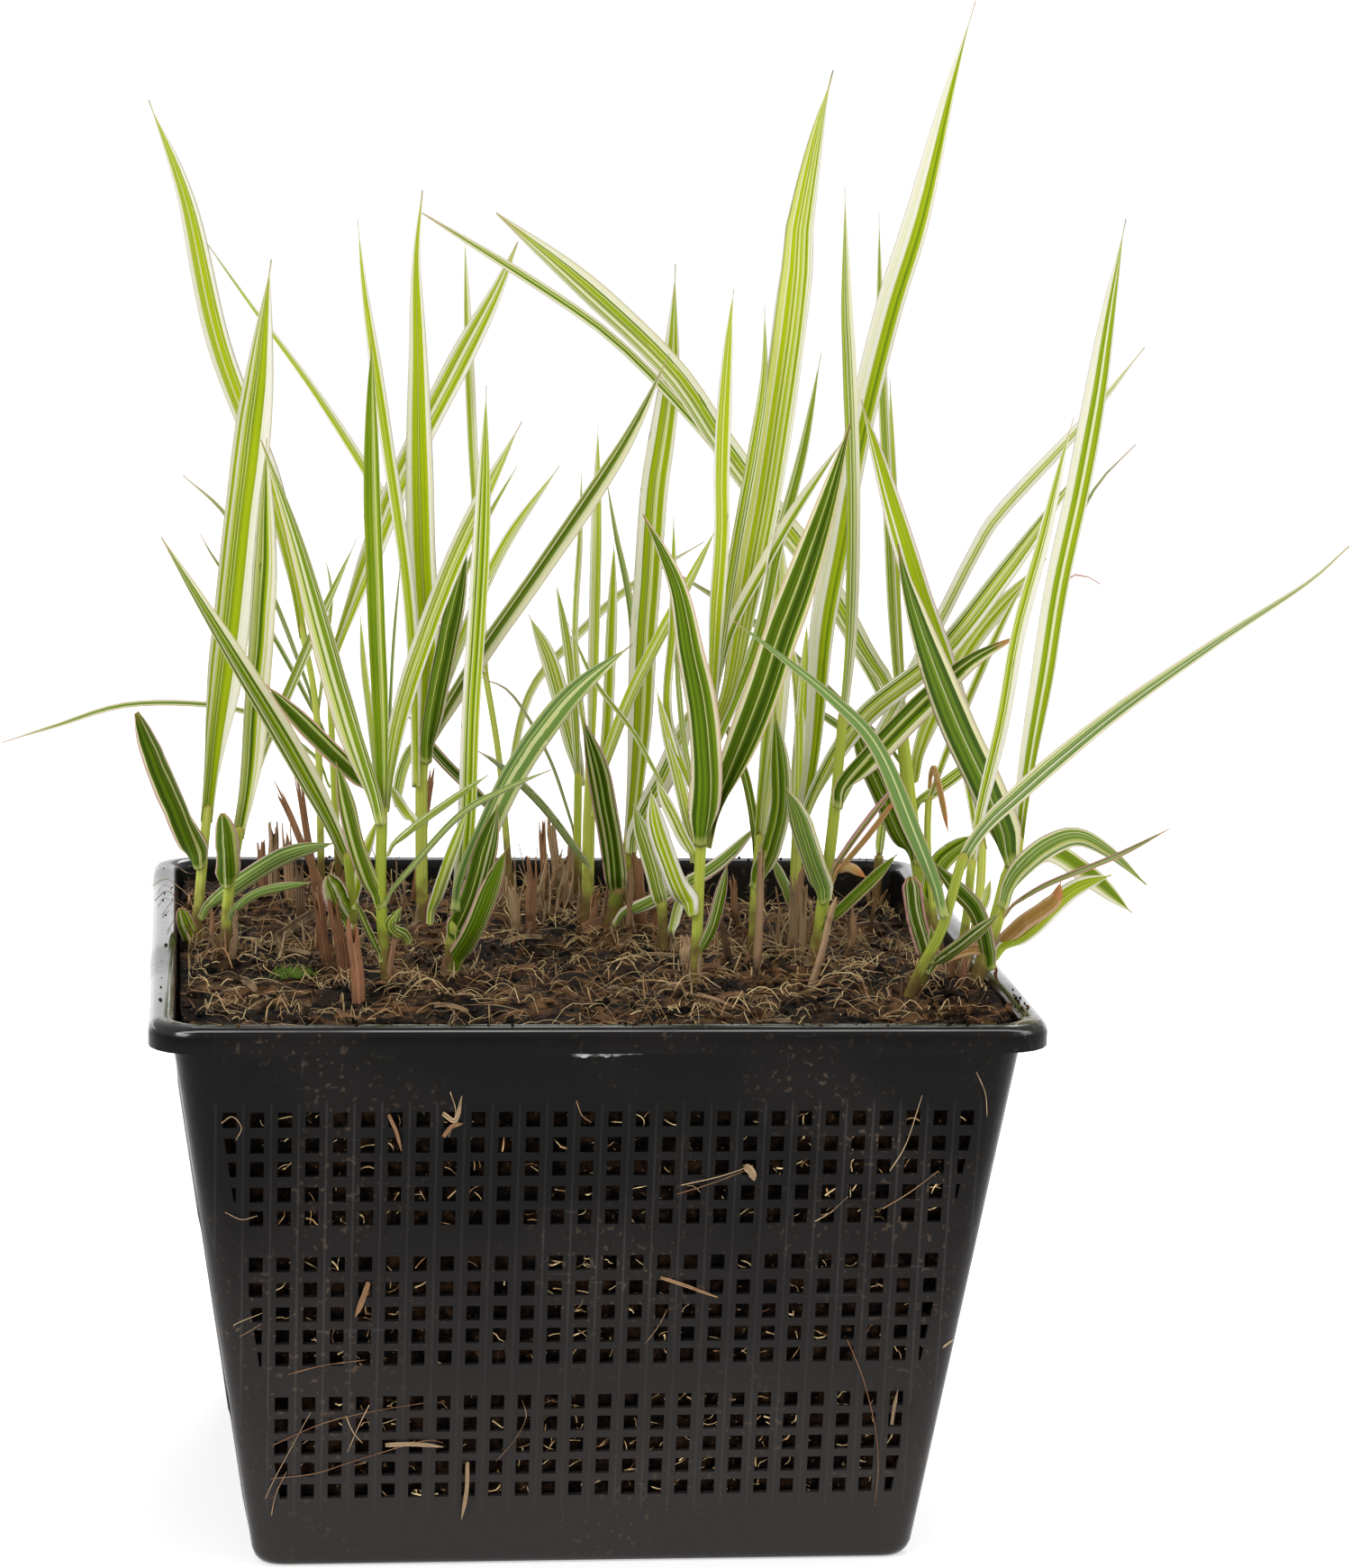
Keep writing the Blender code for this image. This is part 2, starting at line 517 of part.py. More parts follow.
def culm_depth(shoot, pixel):
    """How far back a culm lies at the height of a pixel."""
    points = culm_path(shoot)
    reach = (shoot.foot[1] - pixel[1]) / (shoot.foot[1] - shoot.collar[1])
    reach = max(0.0, min(1.0, reach))
    return points[0].y + (points[-1].y - points[0].y) * reach


def lens(here, side, face, width, thickness, fold, count):
    """Section of a blade: a thin lens of four or six points, folded at its midrib."""
    half = width / 2
    low = face * (-fold * width)
    if count == 4:
        return [here - side * half, here + low - face * thickness / 2,
                here + side * half, here + low + face * thickness / 2]
    inner = half * 0.45
    return [here - side * half,
            here - side * inner + low * 0.7 - face * thickness / 2,
            here + side * inner + low * 0.7 - face * thickness / 2,
            here + side * half,
            here + side * inner + low * 0.7 + face * thickness / 2,
            here - side * inner + low * 0.7 + face * thickness / 2]


def make_shoot(shoot, ground, group, material):
    """Culm that opens into its top leaf, lofted in one piece."""
    rings = []
    culm = culm_path(shoot)
    radius = shoot.thick * 0.0005
    for t in (0.0, 0.35, 0.7, 0.97):
        here, side, face = frame_at(culm, t, 0.0)
        ring = []
        for corner in range(6):
            angle = math.pi - corner * math.pi / 3
            ring.append(here + side * radius * math.cos(angle) - face * radius * math.sin(angle))
        rings.append(ring)
    foot_level = ground_under(ground, rings[0]) + CLEARANCE
    for point in rings[0]:
        point.z = foot_level
    pixels = [shoot.collar, *shoot.leaf_bends, shoot.tip]
    depths = [culm[-1].y + shoot.swing * 0.001 * share ** 1.3 for share in shares(pixels)]
    leaf = path_points(pixels, depths)
    turn = turn_of(shoot.name)
    width = shoot.wide * 0.001 / math.cos(turn)
    ends = (0.04, 0.2, 0.4, 0.6, 0.8, 1.0)
    for t in ends:
        here, side, face = frame_at(leaf, t, turn * min(1.0, t * 3))
        share = max(0.03, blade_width(shoot.name, t, shoot.blunt))
        thickness = BLADE_THICKNESS * (1.6 - t)
        rings.append(lens(here, side, face, width * share, thickness, SIDE_BLADE_FOLD * share, 6))
    return object_from(flat_skin(rings), "shoot_" + shoot.name, group, material)


def blade_rings(leaf, shoot, grown_in, places):
    """Sections of a side leaf from root to tip."""
    pixels = [leaf.root, *leaf.bends, leaf.tip]
    root = culm_depth(shoot, leaf.root)
    depths = []
    touch = 0.0 if grown_in else shoot.thick / 2 + 1.0
    touch = math.copysign(min(touch, abs(leaf.start)), leaf.start)
    for share in shares(pixels):
        settle = min(1.0, share / SETTLING)
        start = touch + (leaf.start - touch) * settle
        depths.append(root + (start + leaf.swing * share ** 1.3) * 0.001)
    points = path_points(pixels, depths)
    turn = turn_of(leaf.shoot + leaf.name)
    width = leaf.wide * 0.001 / math.cos(turn)
    rings = []
    for t in places:
        here, side, face = frame_at(points, t, turn * min(1.0, t * 3))
        share = max(0.03, blade_width(leaf.name, t, 0))
        thickness = BLADE_THICKNESS * (1.4 - 0.8 * t)
        rings.append(lens(here, side, face, width * share, thickness, SIDE_BLADE_FOLD * share, 4))
    return rings


def make_leaf(leaf, shoots, group, material):
    """Large side leaf as a piece of its own."""
    rings = blade_rings(leaf, shoots[leaf.shoot], False, (0.0, 0.12, 0.28, 0.45, 0.62, 0.8, 1.0))
    return object_from(flat_skin(rings), leaf.name, group, material)


def grow_in(thing, leaf, shoots, cutter_group, material):
    """Join a smaller leaf to its culm."""
    rings = blade_rings(leaf, shoots[leaf.shoot], True, (0.0, 0.2, 0.45, 0.7, 1.0))
    name = leaf.shoot + "_" + leaf.name + "_guide"
    small = object_from(flat_skin(rings), name, cutter_group, material)
    small.hide_render = True
    small.display_type = "WIRE"
    join = thing.modifiers.new("side leaf", "BOOLEAN")
    join.operation = "UNION"
    join.object = small


def main():
    """Build the whole potted grass."""
    empty_scene()
    parts = new_collection("potted_ribbon_grass")
    guides = new_collection("cutters_and_guides")
    black = plain_material("black plastic", (0.016, 0.015, 0.014), 0.42)
    earth = plain_material("soil", (0.035, 0.020, 0.012), 0.95)
    leaf_green = plain_material("striped leaf", (0.36, 0.47, 0.13), 0.5)
    culm_green = plain_material("culm", (0.38, 0.50, 0.10), 0.45)
    make_basket(parts, guides, black)
    soil = make_soil(parts, guides, earth)
    ground = BVHTree.FromPolygons([vertex.co for vertex in soil.data.vertices],
                                  [face.vertices for face in soil.data.polygons])
    shoots = {shoot.name: shoot for shoot in SHOOTS}
    grown = {shoot.name: make_shoot(shoot, ground, parts, culm_green) for shoot in SHOOTS}
    for leaf in LEAVES:
        make_leaf(leaf, shoots, parts, leaf_green)
    for leaf in SMALL_LEAVES:
        grow_in(grown[leaf.shoot], leaf, shoots, guides, culm_green)


main()
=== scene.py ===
# %% [markdown]
# # A pot of ribbon grass
# The real plant is a clump of striped grass that was lifted from a pond bed and grown on in a
# square black planting basket. The CAD model fixes where each culm stands, how far each leaf
# reaches and how large the basket is. This lesson grows the looks on that frame.

# %% Load the frame
import math
import random
from collections import namedtuple

import bmesh
import bpy
from mathutils import Matrix, Vector, noise


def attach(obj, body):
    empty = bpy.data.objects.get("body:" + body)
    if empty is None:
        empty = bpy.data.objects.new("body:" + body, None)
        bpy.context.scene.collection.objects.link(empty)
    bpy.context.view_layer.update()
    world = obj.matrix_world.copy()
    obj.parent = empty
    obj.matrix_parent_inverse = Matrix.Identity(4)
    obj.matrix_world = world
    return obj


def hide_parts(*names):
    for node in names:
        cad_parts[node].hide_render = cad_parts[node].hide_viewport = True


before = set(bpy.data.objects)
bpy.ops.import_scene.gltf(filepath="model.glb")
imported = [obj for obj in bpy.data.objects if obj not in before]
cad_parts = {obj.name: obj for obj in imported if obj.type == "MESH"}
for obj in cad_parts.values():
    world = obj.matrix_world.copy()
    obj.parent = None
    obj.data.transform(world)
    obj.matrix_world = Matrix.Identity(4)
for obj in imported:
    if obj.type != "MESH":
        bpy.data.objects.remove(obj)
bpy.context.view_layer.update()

# %% [markdown]
# The photograph was taken from a little above the rim and slightly to the left of the middle.
# The same view places every leaf: a pixel gives a line of sight, and a depth gives the point
# on it. Depths are metres away from the viewer along the y axis.

# %% Camera
PHOTO_SIZE = (1500, 1741)
PHOTO_CENTRE = (750.0, 870.5)
FOCAL_PIXELS = 4943.0
VIEWPOINT = Vector((-0.08835, -0.99521, 0.33448))
VIEW_YAW, VIEW_PITCH, VIEW_ROLL = math.radians(6.43), math.radians(-9.88), math.radians(1.37)


def view_axes():
    """Forward, right and up of the photograph's view."""
    forward = Vector((math.sin(VIEW_YAW) * math.cos(VIEW_PITCH),
                      math.cos(VIEW_YAW) * math.cos(VIEW_PITCH), math.sin(VIEW_PITCH)))
    level_right = Vector((math.cos(VIEW_YAW), -math.sin(VIEW_YAW), 0.0))
    level_up = level_right.cross(forward)
    right = level_right * math.cos(VIEW_ROLL) + level_up * math.sin(VIEW_ROLL)
    up = level_up * math.cos(VIEW_ROLL) - level_right * math.sin(VIEW_ROLL)
    return forward, right, up


FORWARD, RIGHT, UP = view_axes()


def place_camera():
    """Set up the camera at the viewpoint, looking as the photograph does."""
    lens = bpy.data.cameras.new("photograph view")
    lens.sensor_width = 36.0
    lens.lens = FOCAL_PIXELS * lens.sensor_width / max(PHOTO_SIZE)
    lens.clip_end = 200.0
    camera = bpy.data.objects.new("photograph view", lens)
    camera.matrix_world = Matrix.Translation(VIEWPOINT) @ Matrix((RIGHT, UP, -FORWARD)).transposed().to_4x4()
    bpy.context.scene.collection.objects.link(camera)
    bpy.context.scene.camera = camera


place_camera()
print("the camera stands at", tuple(VIEWPOINT))

# %% [markdown]
# The pot stands on a plain pale floor under soft light from all round, as in a light tent.
# One large lamp on the left gives the leaves their modelling, and one behind and above lights them
# from behind. The glow of thin leaves lit from behind is painted light: the grass material glows faintly in
# its own colour.

# %% Floor and light
FLOOR_HALF, WALL_TALL = 40.0, 12.0


def soft_lamp(name, place, aim, size, power):
    """A large square lamp that points at a place."""
    lamp = bpy.data.lights.new(name, "AREA")
    lamp.size = size
    lamp.energy = power
    thing = bpy.data.objects.new(name, lamp)
    thing.location = place
    thing.rotation_euler = (Vector(aim) - Vector(place)).to_track_quat("-Z", "Y").to_euler()
    bpy.context.scene.collection.objects.link(thing)


def make_floor():
    """Pale floor with a wall at its far end."""
    bm = bmesh.new()
    bmesh.ops.create_grid(bm, x_segments=1, y_segments=1, size=FLOOR_HALF)
    back = [edge for edge in bm.edges if all(vertex.co.y > 0 for vertex in edge.verts)]
    raised = bmesh.ops.extrude_edge_only(bm, edges=back)["geom"]
    top = [item for item in raised if isinstance(item, bmesh.types.BMVert)]
    bmesh.ops.translate(bm, vec=(0.0, 0.0, WALL_TALL), verts=top)
    mesh = bpy.data.meshes.new("floor")
    bm.to_mesh(mesh)
    bm.free()
    floor = bpy.data.objects.new("floor", mesh)
    bpy.context.scene.collection.objects.link(floor)
    paint = bpy.data.materials.new("pale floor")
    paint.use_nodes = True
    shader = paint.node_tree.nodes["Principled BSDF"]
    shader.inputs["Base Color"].default_value = (0.9, 0.9, 0.9, 1.0)
    shader.inputs["Roughness"].default_value = 0.8
    shader.inputs["Emission Color"].default_value = (1.0, 1.0, 1.0, 1.0)
    shader.inputs["Emission Strength"].default_value = 0.50
    mesh.materials.append(paint)


def make_light():
    """White surroundings and three soft lamps."""
    world = bpy.data.worlds.new("light tent")
    world.use_nodes = True
    world.node_tree.nodes["Background"].inputs["Color"].default_value = (1.0, 1.0, 1.0, 1.0)
    world.node_tree.nodes["Background"].inputs["Strength"].default_value = 0.55
    bpy.context.scene.world = world
    bpy.context.scene.view_settings.view_transform = "Standard"
    soft_lamp("lamp left", (-1.1, -1.2, 1.3), (0.0, 0.0, 0.15), 0.8, 13.0)
    soft_lamp("lamp behind", (0.3, 1.3, 1.5), (0.0, 0.0, 0.2), 0.9, 14.0)
    soft_lamp("lamp right", (1.3, -0.6, 0.9), (0.0, 0.0, 0.15), 0.7, 5.0)


make_floor()
make_light()
print("camera, floor and lamps are in place")

# %% [markdown]
# A small notation for shaders. A Wire stands for one value that flows through the material, so
# sums and products of wires can be written as plain expressions. Paint makes one material and
# adds any other node by name.

# %% Notation for materials


class Wire:
    """One value in a material. Arithmetic on wires adds math nodes."""

    def __init__(self, paint, socket):
        self.paint = paint
        self.socket = socket

    def math(self, operation, *others):
        values = dict(enumerate((self, *others)))
        return self.paint.node("ShaderNodeMath", {"operation": operation}, values)

    def __add__(self, other):
        return self.math("ADD", other)

    def __mul__(self, other):
        return self.math("MULTIPLY", other)

    def __sub__(self, other):
        return self.math("SUBTRACT", other)

    def __rsub__(self, other):
        return self * -1.0 + other

    __radd__ = __add__
    __rmul__ = __mul__

    def size(self):
        return self.math("ABSOLUTE")

    def least(self, other):
        return self.math("MINIMUM", other)

    def most(self, other):
        return self.math("MAXIMUM", other)

    def ramp(self, low, high):
        """Nought below low and one above high, smooth between."""
        return self.paint.node("ShaderNodeMapRange", {"interpolation_type": "SMOOTHSTEP"},
                               {"Value": self, "From Min": low, "From Max": high})


class Paint:
    """A Principled material that is wired up in plain expressions."""

    def __init__(self, name):
        self.material = bpy.data.materials.new(name)
        self.material.use_nodes = True
        self.tree = self.material.node_tree
        self.shader = self.tree.nodes["Principled BSDF"]

    def plug(self, socket, value):
        if isinstance(value, Wire):
            self.tree.links.new(value.socket, socket)
        elif isinstance(value, tuple) and socket.type == "RGBA":
            socket.default_value = (*value[:3], 1.0)
        else:
            socket.default_value = value

    def node(self, kind, settings=None, values=None, output=0):
        made = self.tree.nodes.new(kind)
        for key, value in (settings or {}).items():
            setattr(made, key, value)
        for key, value in (values or {}).items():
            self.plug(made.inputs[key], value)
        return Wire(self, made.outputs[output])

    def set(self, **values):
        for key, value in values.items():
            self.plug(self.shader.inputs[key.replace("_", " ")], value)

    def mix(self, share, first, second):
        """A colour that goes from first to second as share goes from nought to one."""
        return self.node("ShaderNodeMix", {"data_type": "RGBA"}, {0: share, 6: first, 7: second}, 2)

    def marks(self, name):
        """The three values that the mesh carries under a name."""
        found = self.node("ShaderNodeAttribute", {"attribute_name": name}, output=1)
        return [self.node("ShaderNodeSeparateXYZ", values={0: found}, output=axis) for axis in range(3)]

    def place(self):
        """The place on the piece, in metres."""
        return self.node("ShaderNodeTexCoord", output=3)

    def axis(self, index):
        """One coordinate of the place: sideways (0), away from the viewer (1) or height (2)."""
        return self.node("ShaderNodeSeparateXYZ", values={0: self.place()}, output=index)

    def lumps(self, scale, detail=2.0, where=None):
        """Cloudy noise from nought to one over the piece."""
        values = {"Vector": where or self.place(), "Scale": scale, "Detail": detail}
        return self.node("ShaderNodeTexNoise", {}, values)

    def bands(self, position, detail=0.0):
        """Noise along one number."""
        return self.node("ShaderNodeTexNoise", {"noise_dimensions": "1D"},
                         {"W": position, "Scale": 1.0, "Detail": detail})

    def bump(self, height, strength, distance):
        return self.node("ShaderNodeBump", {}, {"Height": height, "Strength": strength, "Distance": distance})


# %% [markdown]
# A ribbon-grass blade is green with cream stripes that run its whole length, because each
# stripe grew from its own row of cells. So the stripe pattern needs only the place across the
# blade. Every blade carries how wide its cream margins are, how many thin lines it has, how
# dark, pink, blue or dry it is, and whether it is a blade or a culm.

# %% Grass material
DEEP_GREEN = (0.036, 0.072, 0.002)
LEAF_GREEN = (0.150, 0.245, 0.008)
BRIGHT_GREEN = (0.390, 0.480, 0.008)
BLUE_GREEN = (0.170, 0.280, 0.105)
WHITE = (0.800, 0.780, 0.670)
CREAM = (0.720, 0.680, 0.440)
YELLOW_LINE = (0.640, 0.660, 0.190)
PINK = (0.520, 0.250, 0.250)
EDGE_TAN = (0.420, 0.330, 0.190)
SHEATH_DARK = (0.100, 0.130, 0.022)
SHEATH_GREEN = (0.330, 0.420, 0.022)
SHEATH_PALE = (0.600, 0.610, 0.160)
PURPLE_BROWN = (0.120, 0.055, 0.028)
DRY_BROWN = (0.470, 0.200, 0.070)
DRY_PALE = (0.620, 0.470, 0.280)
# Culms are purple-brown from their feet to this height, in metres.
PURPLE_FEET_BELOW = 0.1365


def grass_paint():
    """Striped leaf and culm."""
    paint = Paint("striped grass")
    across, along, number = paint.marks("place")
    left, right, pink = paint.marks("edge")
    tone, lines, blue = paint.marks("tint")
    stem, dry, _ = paint.marks("age")
    spot = across + (paint.bands(along * 3.0 + number * 7.3) - 0.5) * 0.06
    margin = (left + 0.01 - spot).ramp(0.0, 0.02).most((spot - 0.99 + right).ramp(0.0, 0.02))
    broad = paint.bands(spot * 5.5 + number * 13.7)
    thin = paint.bands(spot * 15.0 + number * 4.9)
    line = (broad - 0.67 + lines * 0.22).ramp(0.0, 0.025)
    line = line.most((thin - 0.74 + lines * 0.20).ramp(0.0, 0.05) * 0.85)
    tinge = paint.bands(spot * 7.0 + number * 5.1)
    fine = paint.bands(spot * 60.0 + number * 3.7) - 0.5
    patchy = paint.lumps(40.0) - 0.5
    level = (tone + fine * 0.22 + (tinge - 0.5) * 0.9 + patchy * 0.25).ramp(0.0, 1.0)
    green = paint.mix((level * 2.0).least(1.0), DEEP_GREEN, LEAF_GREEN)
    green = paint.mix((level * 2.0 - 1.0).most(0.0), green, BRIGHT_GREEN)
    green = paint.mix(blue * 0.8, green, BLUE_GREEN)
    white = tone.ramp(0.25, 0.75)
    pale = paint.mix(tinge.ramp(0.42, 0.60), YELLOW_LINE, paint.mix(white, CREAM, WHITE))
    leaf = paint.mix(line * (tone * 0.45 + 0.52), green, pale)
    streak = (paint.bands(spot * 12.0 + number * 2.3) - 0.57).ramp(0.0, 0.05) * 0.45
    leaf = paint.mix(margin, leaf, paint.mix(streak, paint.mix(white, CREAM, WHITE), YELLOW_LINE))
    outline = ((across - 0.5).size() * 2.0).ramp(0.90, 1.0) * 0.5
    leaf = paint.mix(outline, leaf, EDGE_TAN)
    rim = ((across - 0.5).size() * 2.0 + (pink - 1.0).most(0.0) * 0.6).ramp(0.80, 0.95)
    leaf = paint.mix(rim * pink.least(1.0) * 0.85, leaf, PINK)
    base = (along * -1.0 + 0.04).ramp(0.0, 0.025)
    leaf = paint.mix(base * 0.4, leaf, YELLOW_LINE)
    height = paint.axis(2)
    blotch = paint.lumps(260.0, 3.0)
    low = (height * -1.0 + PURPLE_FEET_BELOW + (blotch - 0.5) * 0.018).ramp(0.0, 0.012)
    sheath = paint.mix((level * 0.35 + line * 0.45).least(1.0), SHEATH_GREEN, SHEATH_PALE)
    sheath = paint.mix((tone * -1.6 + 1.0).most(0.0).least(0.8), sheath, SHEATH_DARK)
    sheath = paint.mix(pink * 0.35 * blotch.ramp(0.4, 0.6), sheath, PINK)
    sheath = paint.mix(low * 0.9, sheath, PURPLE_BROWN)
    leaf = paint.mix(stem, leaf, sheath)
    tip = (along + blotch * 0.06 + dry * 0.10).ramp(0.95, 1.04) * (dry * 0.9 + 0.35)
    withered = tip.most(dry - 1.0).most(0.0).least(1.0)
    leaf = paint.mix(withered, leaf, paint.mix(blotch.ramp(0.50, 0.75) * 0.6, DRY_BROWN, DRY_PALE))
    veins = paint.bands(spot * 90.0 + number) * 0.6 + paint.lumps(900.0) * 0.4
    paint.set(Base_Color=leaf, Roughness=0.50 + fine * 0.15, Normal=paint.bump(veins, 0.3, 0.0004))
    # The blades glow faintly in their own colour: painted light that stands in for light shining through thin
    # leaves.
    paint.set(Emission_Color=leaf, Emission_Strength=0.10)
    paint.shader.inputs["Specular IOR Level"].default_value = 0.06
    return paint.material


# %% [markdown]
# The basket is moulded from soft black plastic. It is satin rather than glossy, and it has been
# handled: a film of dust lies in patches and fine scratches run across it. A pale grey line along
# the upper edge of its rim is a painted highlight, and so are the pale lines on the ribs between the
# columns of holes. The wall is painted paler toward its foot, which leaves it darkest up under the
# ledge: painted shade. All of this follows from the height and the place along the wall, so it is
# written with those two values and no picture is needed.

# %% Basket material
BLACK, DUSTY_BLACK = (0.0050, 0.0045, 0.0042), (0.017, 0.0145, 0.0135)
FOOT_GREY, RIB_HIGHLIGHT_GREY = (0.034, 0.030, 0.029), (0.070, 0.066, 0.064)
SCRATCH_GREY, LIP_HIGHLIGHT_GREY = (0.13, 0.13, 0.13), (0.40, 0.40, 0.40)
GRIT_BROWN = (0.12, 0.08, 0.05)
# Heights are metres above the floor. The painted rib highlights keep clear of the foot and of the plain top.
LEDGE_FROM, LIP_FROM, FOOT_FADE = 0.1226, 0.1236, 0.100
RIB_HIGHLIGHTS_FROM, RIB_HIGHLIGHTS_TO = 0.0125, 0.1085
COLUMN_PITCH = 0.00578
# The painted highlight line on the lip is where half the width is this much less than the height.
LIP_SLANT, LIP_HIGHLIGHT_LINE = 0.0300, 0.00042
SIDE_LEDGE = 0.084


def plastic_paint():
    """Worn black plastic, with painted highlights and painted shade."""
    paint = Paint("black plastic")
    film = paint.lumps(24.0, 6.0).ramp(0.42, 0.72)
    stretch = paint.node("ShaderNodeMapping", {}, {"Vector": paint.place(), "Rotation": (0.25, 0.5, 0.9),
                                                   "Scale": (40.0, 40.0, 700.0)})
    other = paint.node("ShaderNodeMapping", {}, {"Vector": paint.place(), "Rotation": (1.2, 0.1, 0.3),
                                                 "Scale": (600.0, 30.0, 50.0)})
    scratch = paint.lumps(1.0, 3.0, stretch).ramp(0.68, 0.73)
    scratch = scratch.most(paint.lumps(1.0, 3.0, other).ramp(0.70, 0.75))
    grit = paint.lumps(650.0, 2.0).ramp(0.60, 0.70)
    black = paint.mix(film * 0.6, BLACK, DUSTY_BLACK)
    wear_and_painted_light = paint.mix(scratch * film * 0.35, black, SCRATCH_GREY)
    sideways, deep = paint.axis(0), paint.axis(1)
    height = paint.axis(2)
    ledge = (height - LEDGE_FROM).ramp(0.0, 0.0010)
    # Painted shade: the wall is painted paler toward its foot, so it stays darkest up under the ledge, where
    # the ledge throws its shade.
    below = (height * -1.0 + FOOT_FADE).ramp(0.0, FOOT_FADE)
    wear_and_painted_light = paint.mix(below * (1.0 - ledge), wear_and_painted_light, FOOT_GREY)
    flank = (sideways.size() - deep.size()).ramp(0.0, 0.0001)
    along_wall = sideways * (1.0 - flank) + deep * flank
    # Painted highlights: pale lines on the ribs between the columns of holes, where light catches them.
    rib = ((along_wall * (1.0 / COLUMN_PITCH)).math("FRACT") - 0.5).size().ramp(0.44, 0.48)
    rib = rib * (height * -1.0 + RIB_HIGHLIGHTS_TO).ramp(0.0, 0.002) * (height - RIB_HIGHLIGHTS_FROM).ramp(0.0, 0.002)
    wear_and_painted_light = paint.mix(rib * (film * 0.3 + 0.12), wear_and_painted_light, RIB_HIGHLIGHT_GREY)
    edge = sideways.size().most(deep.size())
    # Painted highlight: a pale grey line along the rounded upper edge of the lip, dimmed where dust lies.
    lip_highlight = (LIP_HIGHLIGHT_LINE - (edge - height + LIP_SLANT).size()).ramp(0.0, 0.0003)
    lip_highlight = lip_highlight * (height - LIP_FROM).ramp(0.0, 0.0001)
    wear_and_painted_light = paint.mix(lip_highlight * (film * -0.5 + 0.7), wear_and_painted_light, LIP_HIGHLIGHT_GREY)
    dust_and_painted_light = paint.mix(grit * film * 0.6, wear_and_painted_light, GRIT_BROWN)
    glossy = (sideways.size() - SIDE_LEDGE).ramp(0.0, 0.004) * 0.75 + 0.25
    paint.set(Base_Color=dust_and_painted_light, Roughness=0.22 + film * 0.20 + scratch * 0.1,
              Coat_Weight=ledge * glossy * (film * -0.4 + 1.0),
              Normal=paint.bump(paint.lumps(300.0, 5.0), 0.18, 0.0006))
    paint.shader.inputs["Specular IOR Level"].default_value = 0.09
    paint.shader.inputs["Coat Roughness"].default_value = 0.12
    return paint.material


# %% [markdown]
# Peat is painted nearly black below its top, down the sides that show through the holes, and brown
# on top: painted shade inside the pot and painted light on top. The straw of last year's culms is
# tan, orange-brown or red-brown, with peat splashed on its foot.
# One recipe serves straw, husks and root fibres, with other colours for each. Moss has settled
# in one wet place.

# %% Soil, straw and moss materials
SHADED_PEAT_DARK, SHADED_PEAT_PALE = (0.002, 0.0012, 0.0008), (0.034, 0.016, 0.008)
LIT_PEAT_DARK, LIT_PEAT_PALE = (0.020, 0.010, 0.004), (0.270, 0.130, 0.050)
PALE_SPECK, SPLASHED_PEAT, RUST_DARK = (0.42, 0.25, 0.11), (0.030, 0.015, 0.008), (0.22, 0.09, 0.045)
MOSS_DARK, MOSS_BRIGHT = (0.022, 0.060, 0.004), (0.220, 0.360, 0.020)
TORN_GREY, TORN_WHITE = (0.04, 0.04, 0.04), (0.55, 0.55, 0.56)
# The peat takes its lit colours above the first height, with painted shade below it, and straw
# is dirty below the second, in metres.
LIT_ABOVE, SPLASHED_BELOW = 0.1140, 0.1262


def earth_paint():
    """Dark peat with paler crumbs."""
    paint = Paint("peat")
    grain = paint.lumps(330.0, 8.0)
    patch = paint.lumps(70.0, 4.0).ramp(0.42, 0.62)
    speck = paint.lumps(900.0, 2.0).ramp(0.66, 0.74)
    # dark is the shaded copy of the peat and dry the lit copy: painted shade below the top and painted light
    # on it.
    dark = paint.mix(grain.ramp(0.42, 0.68), SHADED_PEAT_DARK, SHADED_PEAT_PALE)
    dry = paint.mix(grain.ramp(0.38, 0.64), LIT_PEAT_DARK, LIT_PEAT_PALE)
    height = paint.axis(2)
    top = (height - LIT_ABOVE).ramp(0.0, 0.003) * 0.46
    earth = paint.mix(speck * 0.8, paint.mix(patch * (top + 0.12), dark, dry), PALE_SPECK)
    paint.set(Base_Color=earth, Roughness=0.95, Normal=paint.bump(grain, 1.0, 0.004))
    paint.shader.inputs["Specular IOR Level"].default_value = 0.2
    return paint.material


def straw_paint(name, dark, light, orange, soiled=0.0):
    """Dead stalk or thread: each has its own shade, and fine grain runs along it."""
    paint = Paint(name)
    across, along, number = paint.marks("place")
    _, _, red = paint.marks("edge")
    tone, _, _ = paint.marks("tint")
    grain = paint.bands(across * 16.0 + number * 9.0 + paint.bands(along * 2.0) * 1.5, 3.0)
    own = paint.bands(number * 31.7)
    shade = paint.bands(number * 17.3 + 40.0) + (tone - 0.5) * 1.6
    weather = paint.lumps(180.0, 5.0)
    colour = paint.mix(((grain - 0.5) * 1.5 + weather * 0.4 + shade * 0.7).ramp(0.15, 0.75), dark, light)
    rusty = paint.mix(((grain - 0.5) * 1.6 + weather * 0.7).ramp(0.10, 0.70), RUST_DARK, orange)
    colour = paint.mix((own.ramp(0.45, 0.60) * 0.75).most(red), colour, rusty)
    colour = paint.mix((weather * 0.6 + grain * 0.4).ramp(0.54, 0.64) * (0.75 - red * 0.45), colour, dark)
    height = paint.axis(2)
    dirt = (height * -1.0 + SPLASHED_BELOW + (weather - 0.5) * 0.012).ramp(0.0, 0.006)
    colour = paint.mix(dirt * soiled * (1.0 - red * 0.6), colour, SPLASHED_PEAT)
    paint.set(Base_Color=colour, Roughness=0.75, Normal=paint.bump(grain + weather * 0.5, 0.6, 0.0008))
    paint.shader.inputs["Specular IOR Level"].default_value = 0.15
    return paint.material


